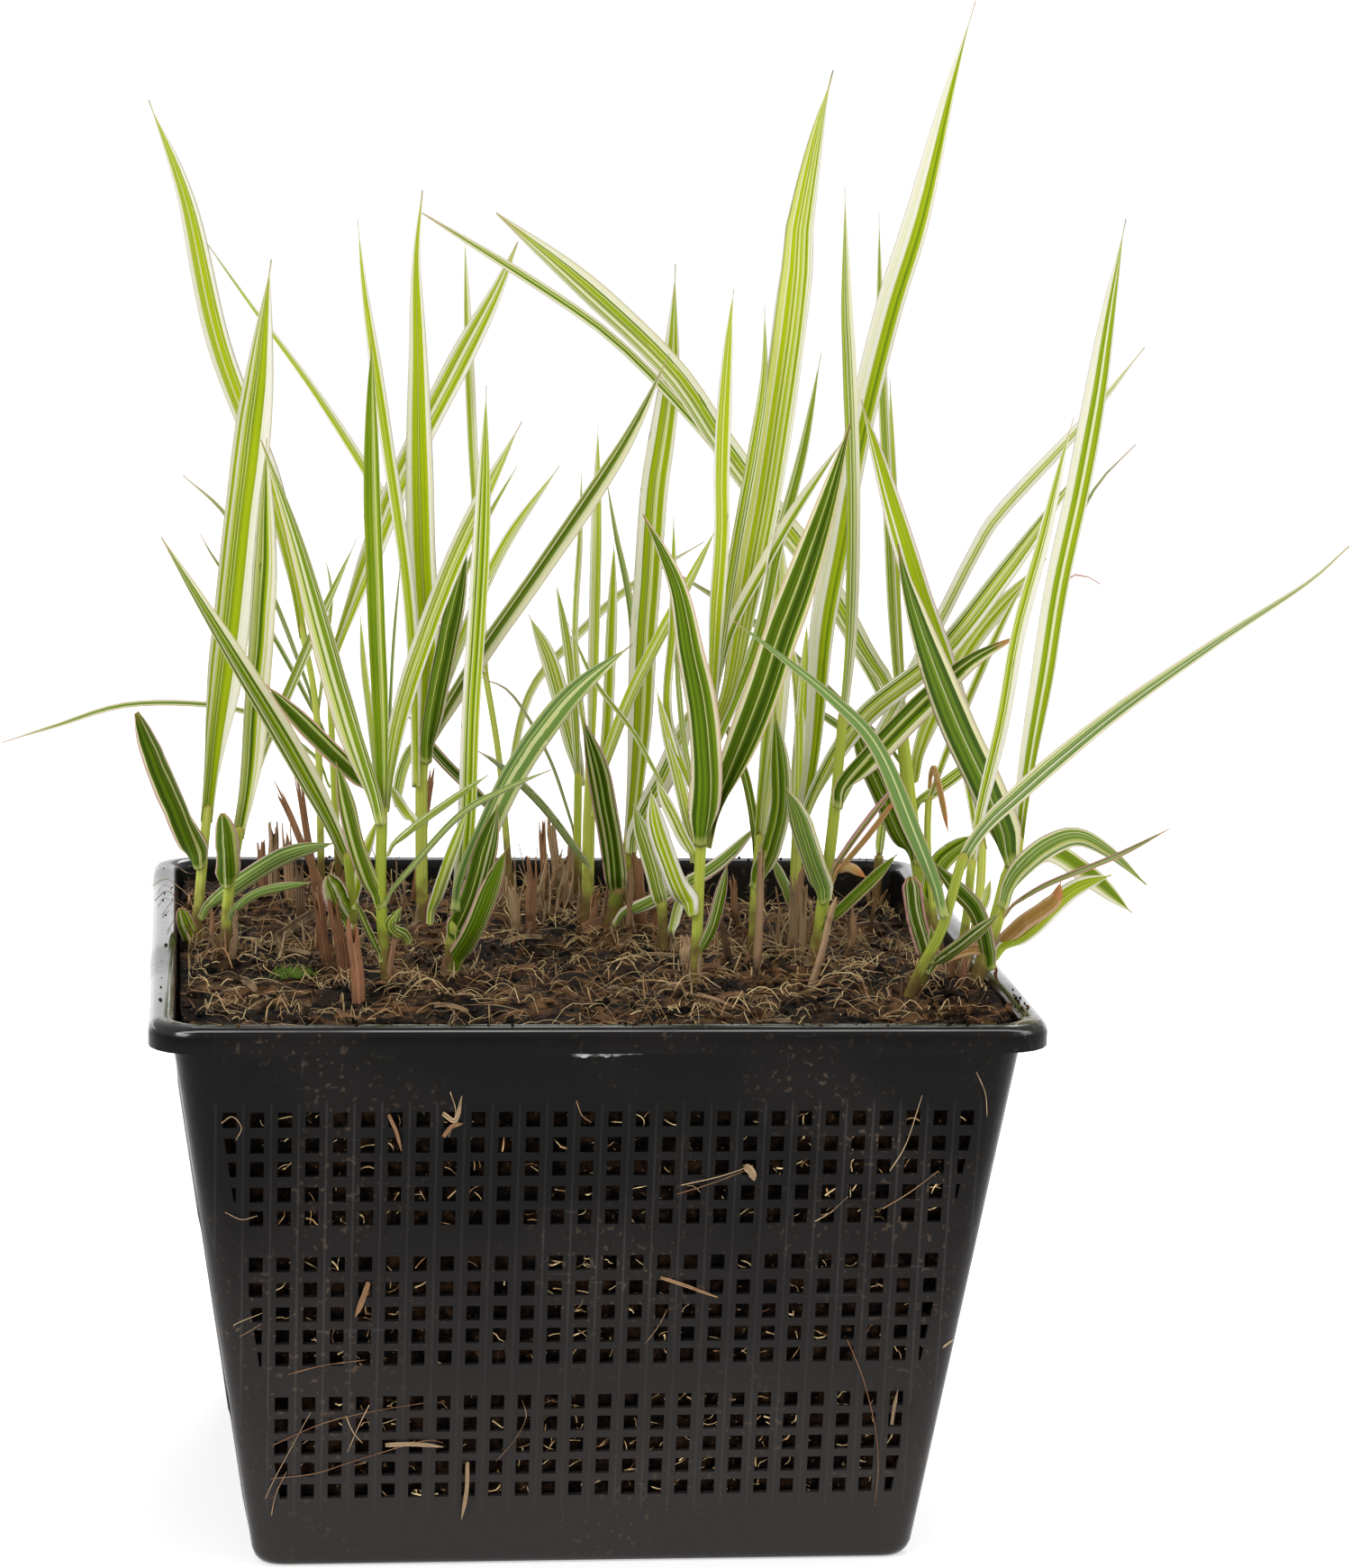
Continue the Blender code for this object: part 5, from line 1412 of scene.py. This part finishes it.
def make_wall_roots():
    """Root ends that show in the holes, on all four sides."""
    chance = random.Random(29)

    def root(bm, index):
        level = chance.choice(HOLE_ROWS)[chance.randrange(5)] + chance.uniform(-0.0016, 0.0010)
        across = chance.uniform(-0.078, 0.078) * outer_half(level) / 0.09
        heading = chance.uniform(-1.2, 1.2) + math.pi * (index % 2)
        length = chance.uniform(0.002, 0.006)
        points = []
        for step in range(4):
            depth = outer_half(level) - WALL * chance.uniform(0.15, 1.15)
            points.append(Matrix.Rotation(index % 4 * math.pi / 2, 3, "Z") @ Vector((across, -depth, level)))
            heading += chance.uniform(-0.8, 0.8)
            across += math.cos(heading) * length / 3
            level += math.sin(heading) * length / 3
        thick = chance.choice((0.08, 0.10, 0.14, 0.22)) * MM
        add_tube(bm, points, lambda t: thick * (1.0 - 0.4 * t), PLAIN, index * 0.47, rows=5, sides=3)

    finish_piece(in_batches(WALL_ROOTS, root), "wall_roots", FIBRE)


make_fibres()
make_wall_roots()
print(FIBRES, "fibres lie on the soil and", WALL_ROOTS, "roots show in the holes")

# %% [markdown]
# A few roots hang over the ledge at the left, and others lie on it in front. Their points are
# photo pixels whose lines of sight are followed down to the level of the ledge.

# %% Threads on the ledge
LEDGE_THREADS = [
    [(168, 984), (184, 978), (200, 986), (212, 1000)], [(172, 1000), (186, 992), (204, 1004)],
    [(180, 1016), (192, 1004), (208, 1010)], [(186, 1034), (196, 1022), (212, 1030)],
    [(196, 962), (210, 972), (222, 968)], [(1128, 1140), (1142, 1132), (1156, 1139)],
    [(300, 1138), (316, 1144), (334, 1139)], [(640, 1142), (656, 1137), (676, 1143)],
]


def on_ledge(pixel):
    """Where a sight line meets the level of the ledge."""
    line = sight_line(pixel)
    return VIEWPOINT + line * ((BASKET_HEIGHT + 0.0003 - VIEWPOINT.z) / line.z)


def make_ledge_threads():
    """Roots that hang over the left ledge and lie on the front one."""
    bm = new_piece()
    for index, pixels in enumerate(LEDGE_THREADS):
        path = [on_ledge(pixel) + Vector((0, 0, 0.0005 * (k % 2))) for k, pixel in enumerate(pixels)]
        for point in path:
            point.y = max(point.y, 0.0010 - RIM_HALF)
        add_tube(bm, path, lambda t: 0.10 * MM * (1.0 - 0.4 * t), PLAIN, index * 0.9, rows=14, sides=5)
    finish_piece(bm, "ledge_threads", HUSK)


make_ledge_threads()
print(len(LEDGE_THREADS), "threads lie on the ledge")

# %% [markdown]
# Scraps of last year's straw lie about. Most are short and lie at random. The larger ones are
# placed one by one, from a pixel at each end, with their width in millimetres.

# %% Straw scraps
SCRAPS = 110
LYING = [
    ((298, 1054), (357, 1014), 2.6), ((303, 1061), (345, 1066), 1.0), ((266, 1092), (286, 1106), 1.8),
    ((640, 1044), (680, 1030), 3.4), ((686, 1057), (730, 1022), 3.0), ((560, 1052), (602, 1047), 1.2),
    ((900, 1100), (940, 1092), 1.0), ((480, 1122), (520, 1130), 0.9), ((1020, 1122), (1060, 1112), 1.0),
]
# Scraps lie this high above the soil, in metres, so that their curled edges clear it.
SCRAP_LIFT = 0.0012


def make_straw_bits():
    """Short flat scraps of straw that lie about."""
    chance = random.Random(23)

    def scrap(bm, index):
        x, y = chance.uniform(-0.082, 0.082), chance.uniform(-0.084, 0.082)
        heading, length = chance.uniform(0, 6.28), chance.uniform(0.003, 0.012)
        half = Vector((math.cos(heading), math.sin(heading), chance.uniform(-0.35, 0.35))) * length / 2
        middle = Vector((x, y, soil_height(x, y) + SCRAP_LIFT))
        path = [middle - half, middle + Vector((0, 0, 0.0005)), middle + half]
        add_blade(bm, path, chance.uniform(0.3, 1.0) * MM, PLAIN, index * 0.53, grip=0.6 * MM, blunt=1,
                  rows=4, columns=2, turn=chance.uniform(-1.2, 1.2), round_foot=True)

    bm = in_batches(SCRAPS, scrap)
    for index, (first, last, wide) in enumerate(LYING):
        start, end = on_soil(first), on_soil(last)
        rise = Vector((0, 0, SCRAP_LIFT))
        path = [start + rise, (start + end) / 2 + rise * 1.6, end + rise * 1.2]
        add_blade(bm, path, wide * MM, PLAIN, index * 0.77 + 3.0, grip=0.8 * MM, blunt=1, rows=16, columns=6,
                  turn=0.5 * (-1) ** index, round_foot=True)
    finish_piece(bm, "straw_bits", STRAW)


make_straw_bits()
print(SCRAPS + len(LYING), "scraps of straw lie on the soil")

# %% [markdown]
# The dead culms of last year were cut or broken off a few centimetres up. They are hollow, their
# ends are torn, and some have split along one side. Each is a strip that is bent round its path,
# all the way or a little over half, and given a thin wall. The rows near the top are pulled down
# by a random share, which makes the torn end. Each stalk has the pixels of its foot and top, its
# thickness in millimetres, and how split, red and light it is.

# %% Dead stalks
Stalk = namedtuple("Stalk", "foot top thick split red light", defaults=(0, 0.0, 0.5))
STALKS = [
    Stalk((398, 1112), (391, 1022), 2.7, 0, 0.9, 0.6), Stalk((429, 1094), (437, 1036), 2.2, 1, 0.6, 0.6),
    Stalk((591, 1040), (590, 952), 2.2), Stalk((572, 1036), (567, 975), 2.4),
    Stalk((305, 1000), (303, 913), 2.4), Stalk((322, 1004), (318, 915), 2.2),
    Stalk((352, 1004), (326, 848), 3.0, 1, 0.6), Stalk((457, 1000), (478, 855), 3.0, 1, 0.8),
    Stalk((618, 1002), (612, 905), 1.8), Stalk((712, 1036), (706, 950), 3.0),
    Stalk((897, 1096), (927, 995), 2.6, 1, 0.2, 0.8), Stalk((872, 1062), (890, 962), 2.8, 1, 0.3, 0.6),
    Stalk((292, 1000), (290, 935), 1.8), Stalk((364, 1000), (303, 870), 2.8, 1),
    Stalk((364, 1075), (352, 990), 2.4, 0, 0.5, 0.05), Stalk((382, 1084), (370, 1000), 2.6, 0, 0.5, 0.1),
    Stalk((334, 1020), (332, 958), 2.0, 0, 0.0, 0.45), Stalk((604, 1000), (602, 912), 1.6),
    Stalk((636, 1008), (620, 950), 1.6), Stalk((632, 1004), (634, 935), 1.6),
    Stalk((655, 1034), (662, 990), 1.6), Stalk((840, 1075), (846, 940), 1.5),
    Stalk((820, 1030), (812, 972), 1.4), Stalk((812, 1070), (800, 1020), 1.4),
    Stalk((762, 1075), (760, 1040), 2.2), Stalk((882, 1064), (880, 965), 1.4),
    Stalk((890, 1066), (893, 985), 1.2), Stalk((696, 1040), (700, 965), 2.6, 1),
    Stalk((728, 1040), (724, 970), 2.0), Stalk((1052, 1095), (1056, 1066), 2.4, 1),
    Stalk((1066, 1098), (1070, 1062), 2.4, 1), Stalk((256, 1066), (262, 1010), 2.0, 1),
    Stalk((238, 1056), (232, 1010), 2.0, 1), Stalk((470, 1034), (478, 990), 1.6, 1),
    Stalk((514, 1066), (520, 1030), 1.4), Stalk((560, 1010), (556, 950), 1.6),
    Stalk((548, 1004), (545, 960), 1.4), Stalk((905, 1040), (912, 985), 1.6, 1),
    Stalk((940, 1060), (950, 1010), 1.6), Stalk((966, 1040), (972, 985), 1.8, 1),
]


def gather(verts, foot, rise, radius):
    """Bring back the corners that the wall of a torn end has thrown far out."""
    along = rise.normalized()
    for vertex in verts:
        axis = foot + along * max(0.0, min(rise.length, (vertex.co - foot).dot(along)))
        away = vertex.co - axis
        if away.length > radius * 2.5:
            vertex.co = axis + away.normalized() * radius


def add_stalk(bm, stalk, number):
    """Hollow dead stalk with a torn end, or a split shell of one."""
    foot = on_soil(stalk.foot)
    top = seen(stalk.top, foot.y)
    chance = random.Random(int(number * 10))
    bend = Vector((chance.uniform(-1, 1), chance.uniform(-1, 1), 0.0)) * 0.0004
    rise = top - foot
    path = [foot - rise.normalized() * 0.004, foot * 0.6 + top * 0.4 + bend,
            foot * 0.25 + top * 0.75 - bend * 0.5, top]
    reach = 0.55 if stalk.split else 1.0
    radius = stalk.thick * 0.44 * MM
    look = PLAIN._replace(pink=stalk.red, tone=stalk.light)
    sides, rows = 12, 12
    tears = [min(0.06, chance.gauss(-0.08, 0.12)) for _ in range(sides + 1)]
    tears[-1] = tears[0]
    verts = []
    for vertex, across, row in strip(bm, sides, rows):
        t = row / rows
        torn = tears[round(across * sides)] * ease((t - 0.45) / 0.55)
        here, side, face = frame_at(path, min(1.0, max(0.0, t + min(0.0, torn))))
        here = here + rise * max(0.0, torn) * 0.6
        angle = (across - 0.25 / reach) * math.tau * reach
        lumps = noise.noise(Vector((math.cos(angle) * 1.5, math.sin(angle) * 1.5, t * 3 + number * 5)))
        spread = radius * (1.08 - 0.16 * t + 0.12 * lumps)
        vertex.co = here + (side * math.cos(angle) + face * math.sin(angle) * 0.85) * spread
        mark(bm, vertex, abs(across * 2.0 - 1.0), t, number, look)
        verts.append(vertex)
    if not stalk.split:
        bmesh.ops.remove_doubles(bm, verts=verts, dist=1e-7)
        verts = [vertex for vertex in verts if vertex.is_valid]
    others = set(bm.verts) - set(verts)
    bmesh.ops.solidify(bm, geom=faces_of(verts), thickness=BLADE_THICK)
    gather(set(bm.verts) - others, foot, rise, radius)


def make_stalks():
    """Last year's broken culms."""
    bm = new_piece()
    for index, stalk in enumerate(STALKS):
        add_stalk(bm, stalk, index * 0.7)
    finish_piece(bm, "dead_stalks", STRAW, sharp=60)


make_stalks()
print(len(STALKS), "dead stalks stand in the soil")

# %% [markdown]
# Thinner stubs stand in clumps between the stalks, and papery husks, the rests of old sheaths,
# cling to the foot of every shoot. Both are placed at random round known feet.

# %% Stubble and husks
CLUMPS = [(600, 1012), (612, 1004), (590, 1020), (445, 1006), (365, 1048),
          (872, 1056), (702, 1036), (640, 1012), (545, 1010), (905, 1050)]
STUBS, HUSKS_EACH = 190, 5


def make_stubble():
    """Thin broken stubs that stand in clumps and round the feet of the shoots."""
    chance = random.Random(31)
    feet = [on_soil(shoot.culm[0]) for shoot in SHOOTS]
    clumps = [on_soil(pixel) for pixel in CLUMPS]

    def stub(bm, index):
        near = clumps if index % 5 < 3 else feet
        foot = chance.choice(near) + Vector((chance.gauss(0, 1), chance.gauss(0, 1), 0.0)) * 0.0035
        foot.x, foot.y = held(foot.x, FOOT_REACH), held(foot.y, FOOT_REACH)
        foot.z = soil_height(foot.x, foot.y) - 0.002
        tall = chance.uniform(0.006, 0.017) if near is clumps else chance.uniform(0.004, 0.009)
        top = foot + Vector((chance.gauss(0, 0.18), chance.gauss(0, 0.18), 1.0)) * tall
        bend = (foot + top) / 2 + Vector((chance.gauss(0, 0.06), chance.gauss(0, 0.06), 0.0)) * tall
        thick = chance.uniform(0.12, 0.42) * MM
        add_tube(bm, [foot, bend, top], lambda t: thick * (1.1 - 0.7 * t * t), PLAIN, index * 0.43,
                 rows=5, sides=5)

    finish_piece(in_batches(STUBS, stub), "stubble", HUSK, sharp=50)


def make_husks():
    """Papery remains of old sheaths round the foot of each shoot."""
    chance = random.Random(37)

    def husk(bm, index):
        shoot = SHOOTS[index // HUSKS_EACH]
        foot = on_soil(shoot.culm[0])
        rise = (culm_path(shoot)[1] - foot).normalized()
        angle = chance.uniform(0, math.tau)
        out = Vector((math.cos(angle), math.sin(angle), 0.0))
        tall = chance.uniform(0.003, 0.010)
        start = foot + out * shoot.thick * 0.5 * MM - rise * 0.002
        end = start + rise * tall + out * tall * chance.uniform(0, 0.3)
        path = [start, start + rise * tall * 0.5 + out * 0.0003, end]
        add_blade(bm, path, chance.uniform(0.8, 1.8) * MM, PLAIN, index * 0.37, grip=shoot.thick * 0.5 * MM,
                  curl=-1.0, turn=chance.uniform(-0.7, 0.7), rows=8, columns=4, round_foot=True)

    finish_piece(in_batches(len(SHOOTS) * HUSKS_EACH, husk), "dry_husks", HUSK)


make_stubble()
make_husks()
print(STUBS, "stubs and", len(SHOOTS) * HUSKS_EACH, "husks are placed")

# %% [markdown]
# Threads of root have pushed out through the holes of the front wall and lie against it, with a
# few scraps of dead sheath. Their points are photo pixels, each followed to where its line of
# sight meets the wall. Past the flat of the wall the rounded corner curves away, so the line is
# followed further there, and a scrap at the corner still touches the basket.

# %% Roots and scraps on the wall
OUTER_THREADS = [
    [(246, 1247), (258, 1240), (268, 1252), (262, 1266)], [(250, 1346), (268, 1354), (286, 1350)],
    [(751, 1326), (790, 1314), (832, 1298)], [(756, 1316), (800, 1306), (836, 1294)],
    [(241, 1484), (262, 1470), (291, 1458)], [(246, 1492), (270, 1482), (290, 1470)],
    [(320, 1526), (360, 1516), (406, 1510)], [(304, 1604), (360, 1580), (420, 1566), (470, 1558)],
    [(384, 1572), (392, 1590), (402, 1602)],
    [(300, 1642), (350, 1636), (400, 1620), (470, 1600), (492, 1602)],
    [(285, 1690), (300, 1652), (322, 1610), (345, 1568)],
    [(551, 1622), (572, 1598), (584, 1574), (580, 1555)],
    [(941, 1488), (958, 1530), (972, 1586), (975, 1630), (971, 1672)],
    [(980, 1342), (1010, 1324), (1042, 1300)],
    [(988, 1300), (1006, 1270), (1024, 1216)], [(905, 1356), (922, 1346), (942, 1328)],
    [(716, 1492), (730, 1474), (741, 1454)], [(640, 1222), (646, 1238), (656, 1246)],
    [(500, 1212), (506, 1236), (498, 1262)], [(1084, 1190), (1094, 1214), (1096, 1240)],
    [(300, 1690), (306, 1660), (318, 1634)], [(410, 1560), (398, 1584), (386, 1612)],
]
OUTER_SCRAPS = [
    ([(492, 1236), (506, 1243), (513, 1216)], 0.8), ([(432, 1238), (440, 1256), (446, 1278)], 0.7),
    ([(409, 1424), (402, 1444), (394, 1462)], 1.1), ([(734, 1418), (764, 1428), (797, 1440)], 0.5),
    ([(428, 1604), (460, 1603), (492, 1606)], 0.7), ([(519, 1624), (518, 1656), (512, 1688)], 0.9),
    ([(990, 1582), (993, 1562), (997, 1543)], 0.7), ([(827, 1294), (834, 1300), (838, 1310)], 1.6),
    ([(492, 1262), (502, 1250), (514, 1247)], 0.8), ([(1046, 1494), (1052, 1489), (1058, 1484)], 1.0),
]


def on_front(pixel, out):
    """Where a sight line meets the front wall or its rounded corner, a little in front of it."""
    point = seen(pixel, -0.08)
    for _ in range(8):
        half = outer_half(point.z)
        past = max(0.0, min(1.0, (abs(point.x) - half + CORNER_RADIUS) / CORNER_RADIUS))
        point = seen(pixel, -half - out + CORNER_RADIUS * (1.0 - math.sqrt(1.0 - past * past)))
    point.x = held(point.x, half + out)
    return point


def make_outer_roots():
    """Threads and scraps that lie against the front wall."""
    bm = new_piece()
    for index, pixels in enumerate(OUTER_THREADS):
        path = [on_front(pixel, 0.0004 + 0.0006 * (k % 2)) for k, pixel in enumerate(pixels)]
        add_tube(bm, path, lambda t: 0.13 * MM * (1.0 - 0.4 * t), PLAIN, index * 0.7, rows=24, sides=5)
    for index, (pixels, wide) in enumerate(OUTER_SCRAPS):
        path = [on_front(pixel, 0.0009) for pixel in pixels]
        add_blade(bm, path, wide * MM, PLAIN, index * 1.1 + 0.4, grip=0.5 * MM, rows=14, columns=4,
                  round_foot=True)
    finish_piece(bm, "outer_roots", HUSK)


make_outer_roots()
print(len(OUTER_THREADS), "threads and", len(OUTER_SCRAPS), "scraps lie against the wall")

# %% [markdown]
# Moss has settled in one spot near the left front. It is a tuft of short cones that lean every
# way, thickest in the middle.

# %% Moss
MOSS_PIXEL = (327, 1086)
SPRIGS = 260


def make_moss():
    """A tuft of short pointed shoots."""
    chance = random.Random(5)
    middle = on_soil(MOSS_PIXEL)

    def sprig(bm, index):
        x, y = middle.x + chance.gauss(0, 0.0019), middle.y + chance.gauss(0, 0.0024)
        tall = chance.uniform(0.0008, 0.0024)
        tilt = Matrix.Rotation(chance.gauss(0, 0.6), 4, "X") @ Matrix.Rotation(chance.gauss(0, 0.6), 4, "Y")
        place = Matrix.Translation((x, y, soil_height(x, y) + 0.0012)) @ tilt
        bmesh.ops.create_cone(bm, cap_ends=True, segments=4, radius1=0.00018, radius2=0.00003,
                              depth=tall, matrix=place)

    finish_piece(in_batches(SPRIGS, sprig), "moss", MOSS)


make_moss()
print(SPRIGS, "sprigs of moss grow at the left")

# %% [markdown]
# When the basket was moulded, a thin film of plastic was squeezed out under the front of its
# rim. It has torn, and its ragged part is white. It is a strip whose lower edge is made uneven
# by two noises, a fine and a coarse one.

# %% Torn flash
FLASH_LEFT, FLASH_RIGHT, FLASH_DEPTH = (560, 1169), (925, 1172), -0.0944


def make_flash():
    """Thin torn flash that hangs under the front of the rim."""
    bm = new_piece()
    left, right = seen(FLASH_LEFT, FLASH_DEPTH), seen(FLASH_RIGHT, FLASH_DEPTH)
    verts = []
    for vertex, across, row in strip(bm, 180, 2):
        fine = noise.noise(Vector((across * 40.0, 3.0, 0.0)))
        torn = fine * 0.6 + noise.noise(Vector((across * 9.0, 0.0, 8.0))) * 0.6
        torn_part = ease((across - 0.19) / 0.02) * (1.0 - ease((across - 0.28) / 0.22))
        ragged = 0.0002 + (0.0005 + 0.0009 * max(0.0, torn + 0.4)) * torn_part + 0.0004 * max(0.0, torn)
        wave = noise.noise(Vector((across * 25.0, row * 1.0, 5.0))) * 0.00025
        vertex.co = Vector((left.x + (right.x - left.x) * across, -0.0942 + wave,
                            BASKET_HEIGHT - SKIRT_DROP + 0.0004 - ragged * row / 2))
        mark(bm, vertex, across, row / 2, 0.0, PLAIN)
        verts.append(vertex)
    bmesh.ops.solidify(bm, geom=faces_of(verts), thickness=0.1 * MM)
    finish_piece(bm, "torn_flash", FLASH)


make_flash()
print("the torn flash hangs under the rim")

# %% [markdown]
# Peat was spilled on the ledge. Most of the crumbs lie along the front and at the right corner,
# where the soil is heaped against the wall, so loose clods are strewn there too.

# %% Spilled crumbs
CLODS = 170
# Specks stay this near the middle on each axis, and this near it along the diagonal, in metres.
LEDGE_REACH, CORNER_REACH = 0.0925, 0.1235


def make_ledge_dirt():
    """Crumbs that were spilled on the ledge."""
    chance = random.Random(17)
    edge = RIM_HALF - 0.0035
    places = [(edge + chance.uniform(-0.002, 0.002), chance.gauss(-0.076, 0.010)) for _ in range(26)]
    places += [(chance.gauss(0.078, 0.008), -edge + chance.uniform(-0.002, 0.002)) for _ in range(16)]
    places += [(chance.uniform(-0.09, 0.09), -edge + chance.uniform(-0.002, 0.002)) for _ in range(70)]
    places += [(-edge + chance.uniform(-0.002, 0.002), chance.uniform(-0.09, 0.09)) for _ in range(14)]
    places += [(chance.uniform(-0.09, 0.09), edge + chance.uniform(-0.002, 0.002)) for _ in range(40)]

    def speck(bm, index):
        x, y = places[index]
        size = chance.choice((0.00012, 0.00018, 0.00025, 0.0004))
        spot = Vector((held(x, LEDGE_REACH), held(y, LEDGE_REACH), BASKET_HEIGHT + size * 0.3))
        spot.xy *= min(1.0, CORNER_REACH / spot.xy.length)
        add_lump(bm, spot, size)

    def clod(bm, index):
        x = 0.0800 + chance.gauss(0, 0.0034)
        y = chance.uniform(-0.086, -0.040) if index % 2 else chance.gauss(-0.078, 0.004)
        size = chance.uniform(0.0003, 0.0010)
        high = soil_height(min(x, 0.086), max(y, -0.086)) + 0.0012 + chance.uniform(0.0, 0.0014)
        spot = Vector((min(x, 0.0880), max(y, -0.0880), high))
        if max(abs(spot.x), abs(spot.y)) > 0.0872:
            spot.z = BASKET_HEIGHT + size * 0.35
        add_lump(bm, spot, size)

    def bit(bm, index):
        if index < len(places):
            speck(bm, index)
        else:
            clod(bm, index - len(places))

    finish_piece(in_batches(len(places) + CLODS, bit), "ledge_dirt", PEAT, sharp=30)
    print(len(places), "specks and", CLODS, "clods are spilled")


make_ledge_dirt()
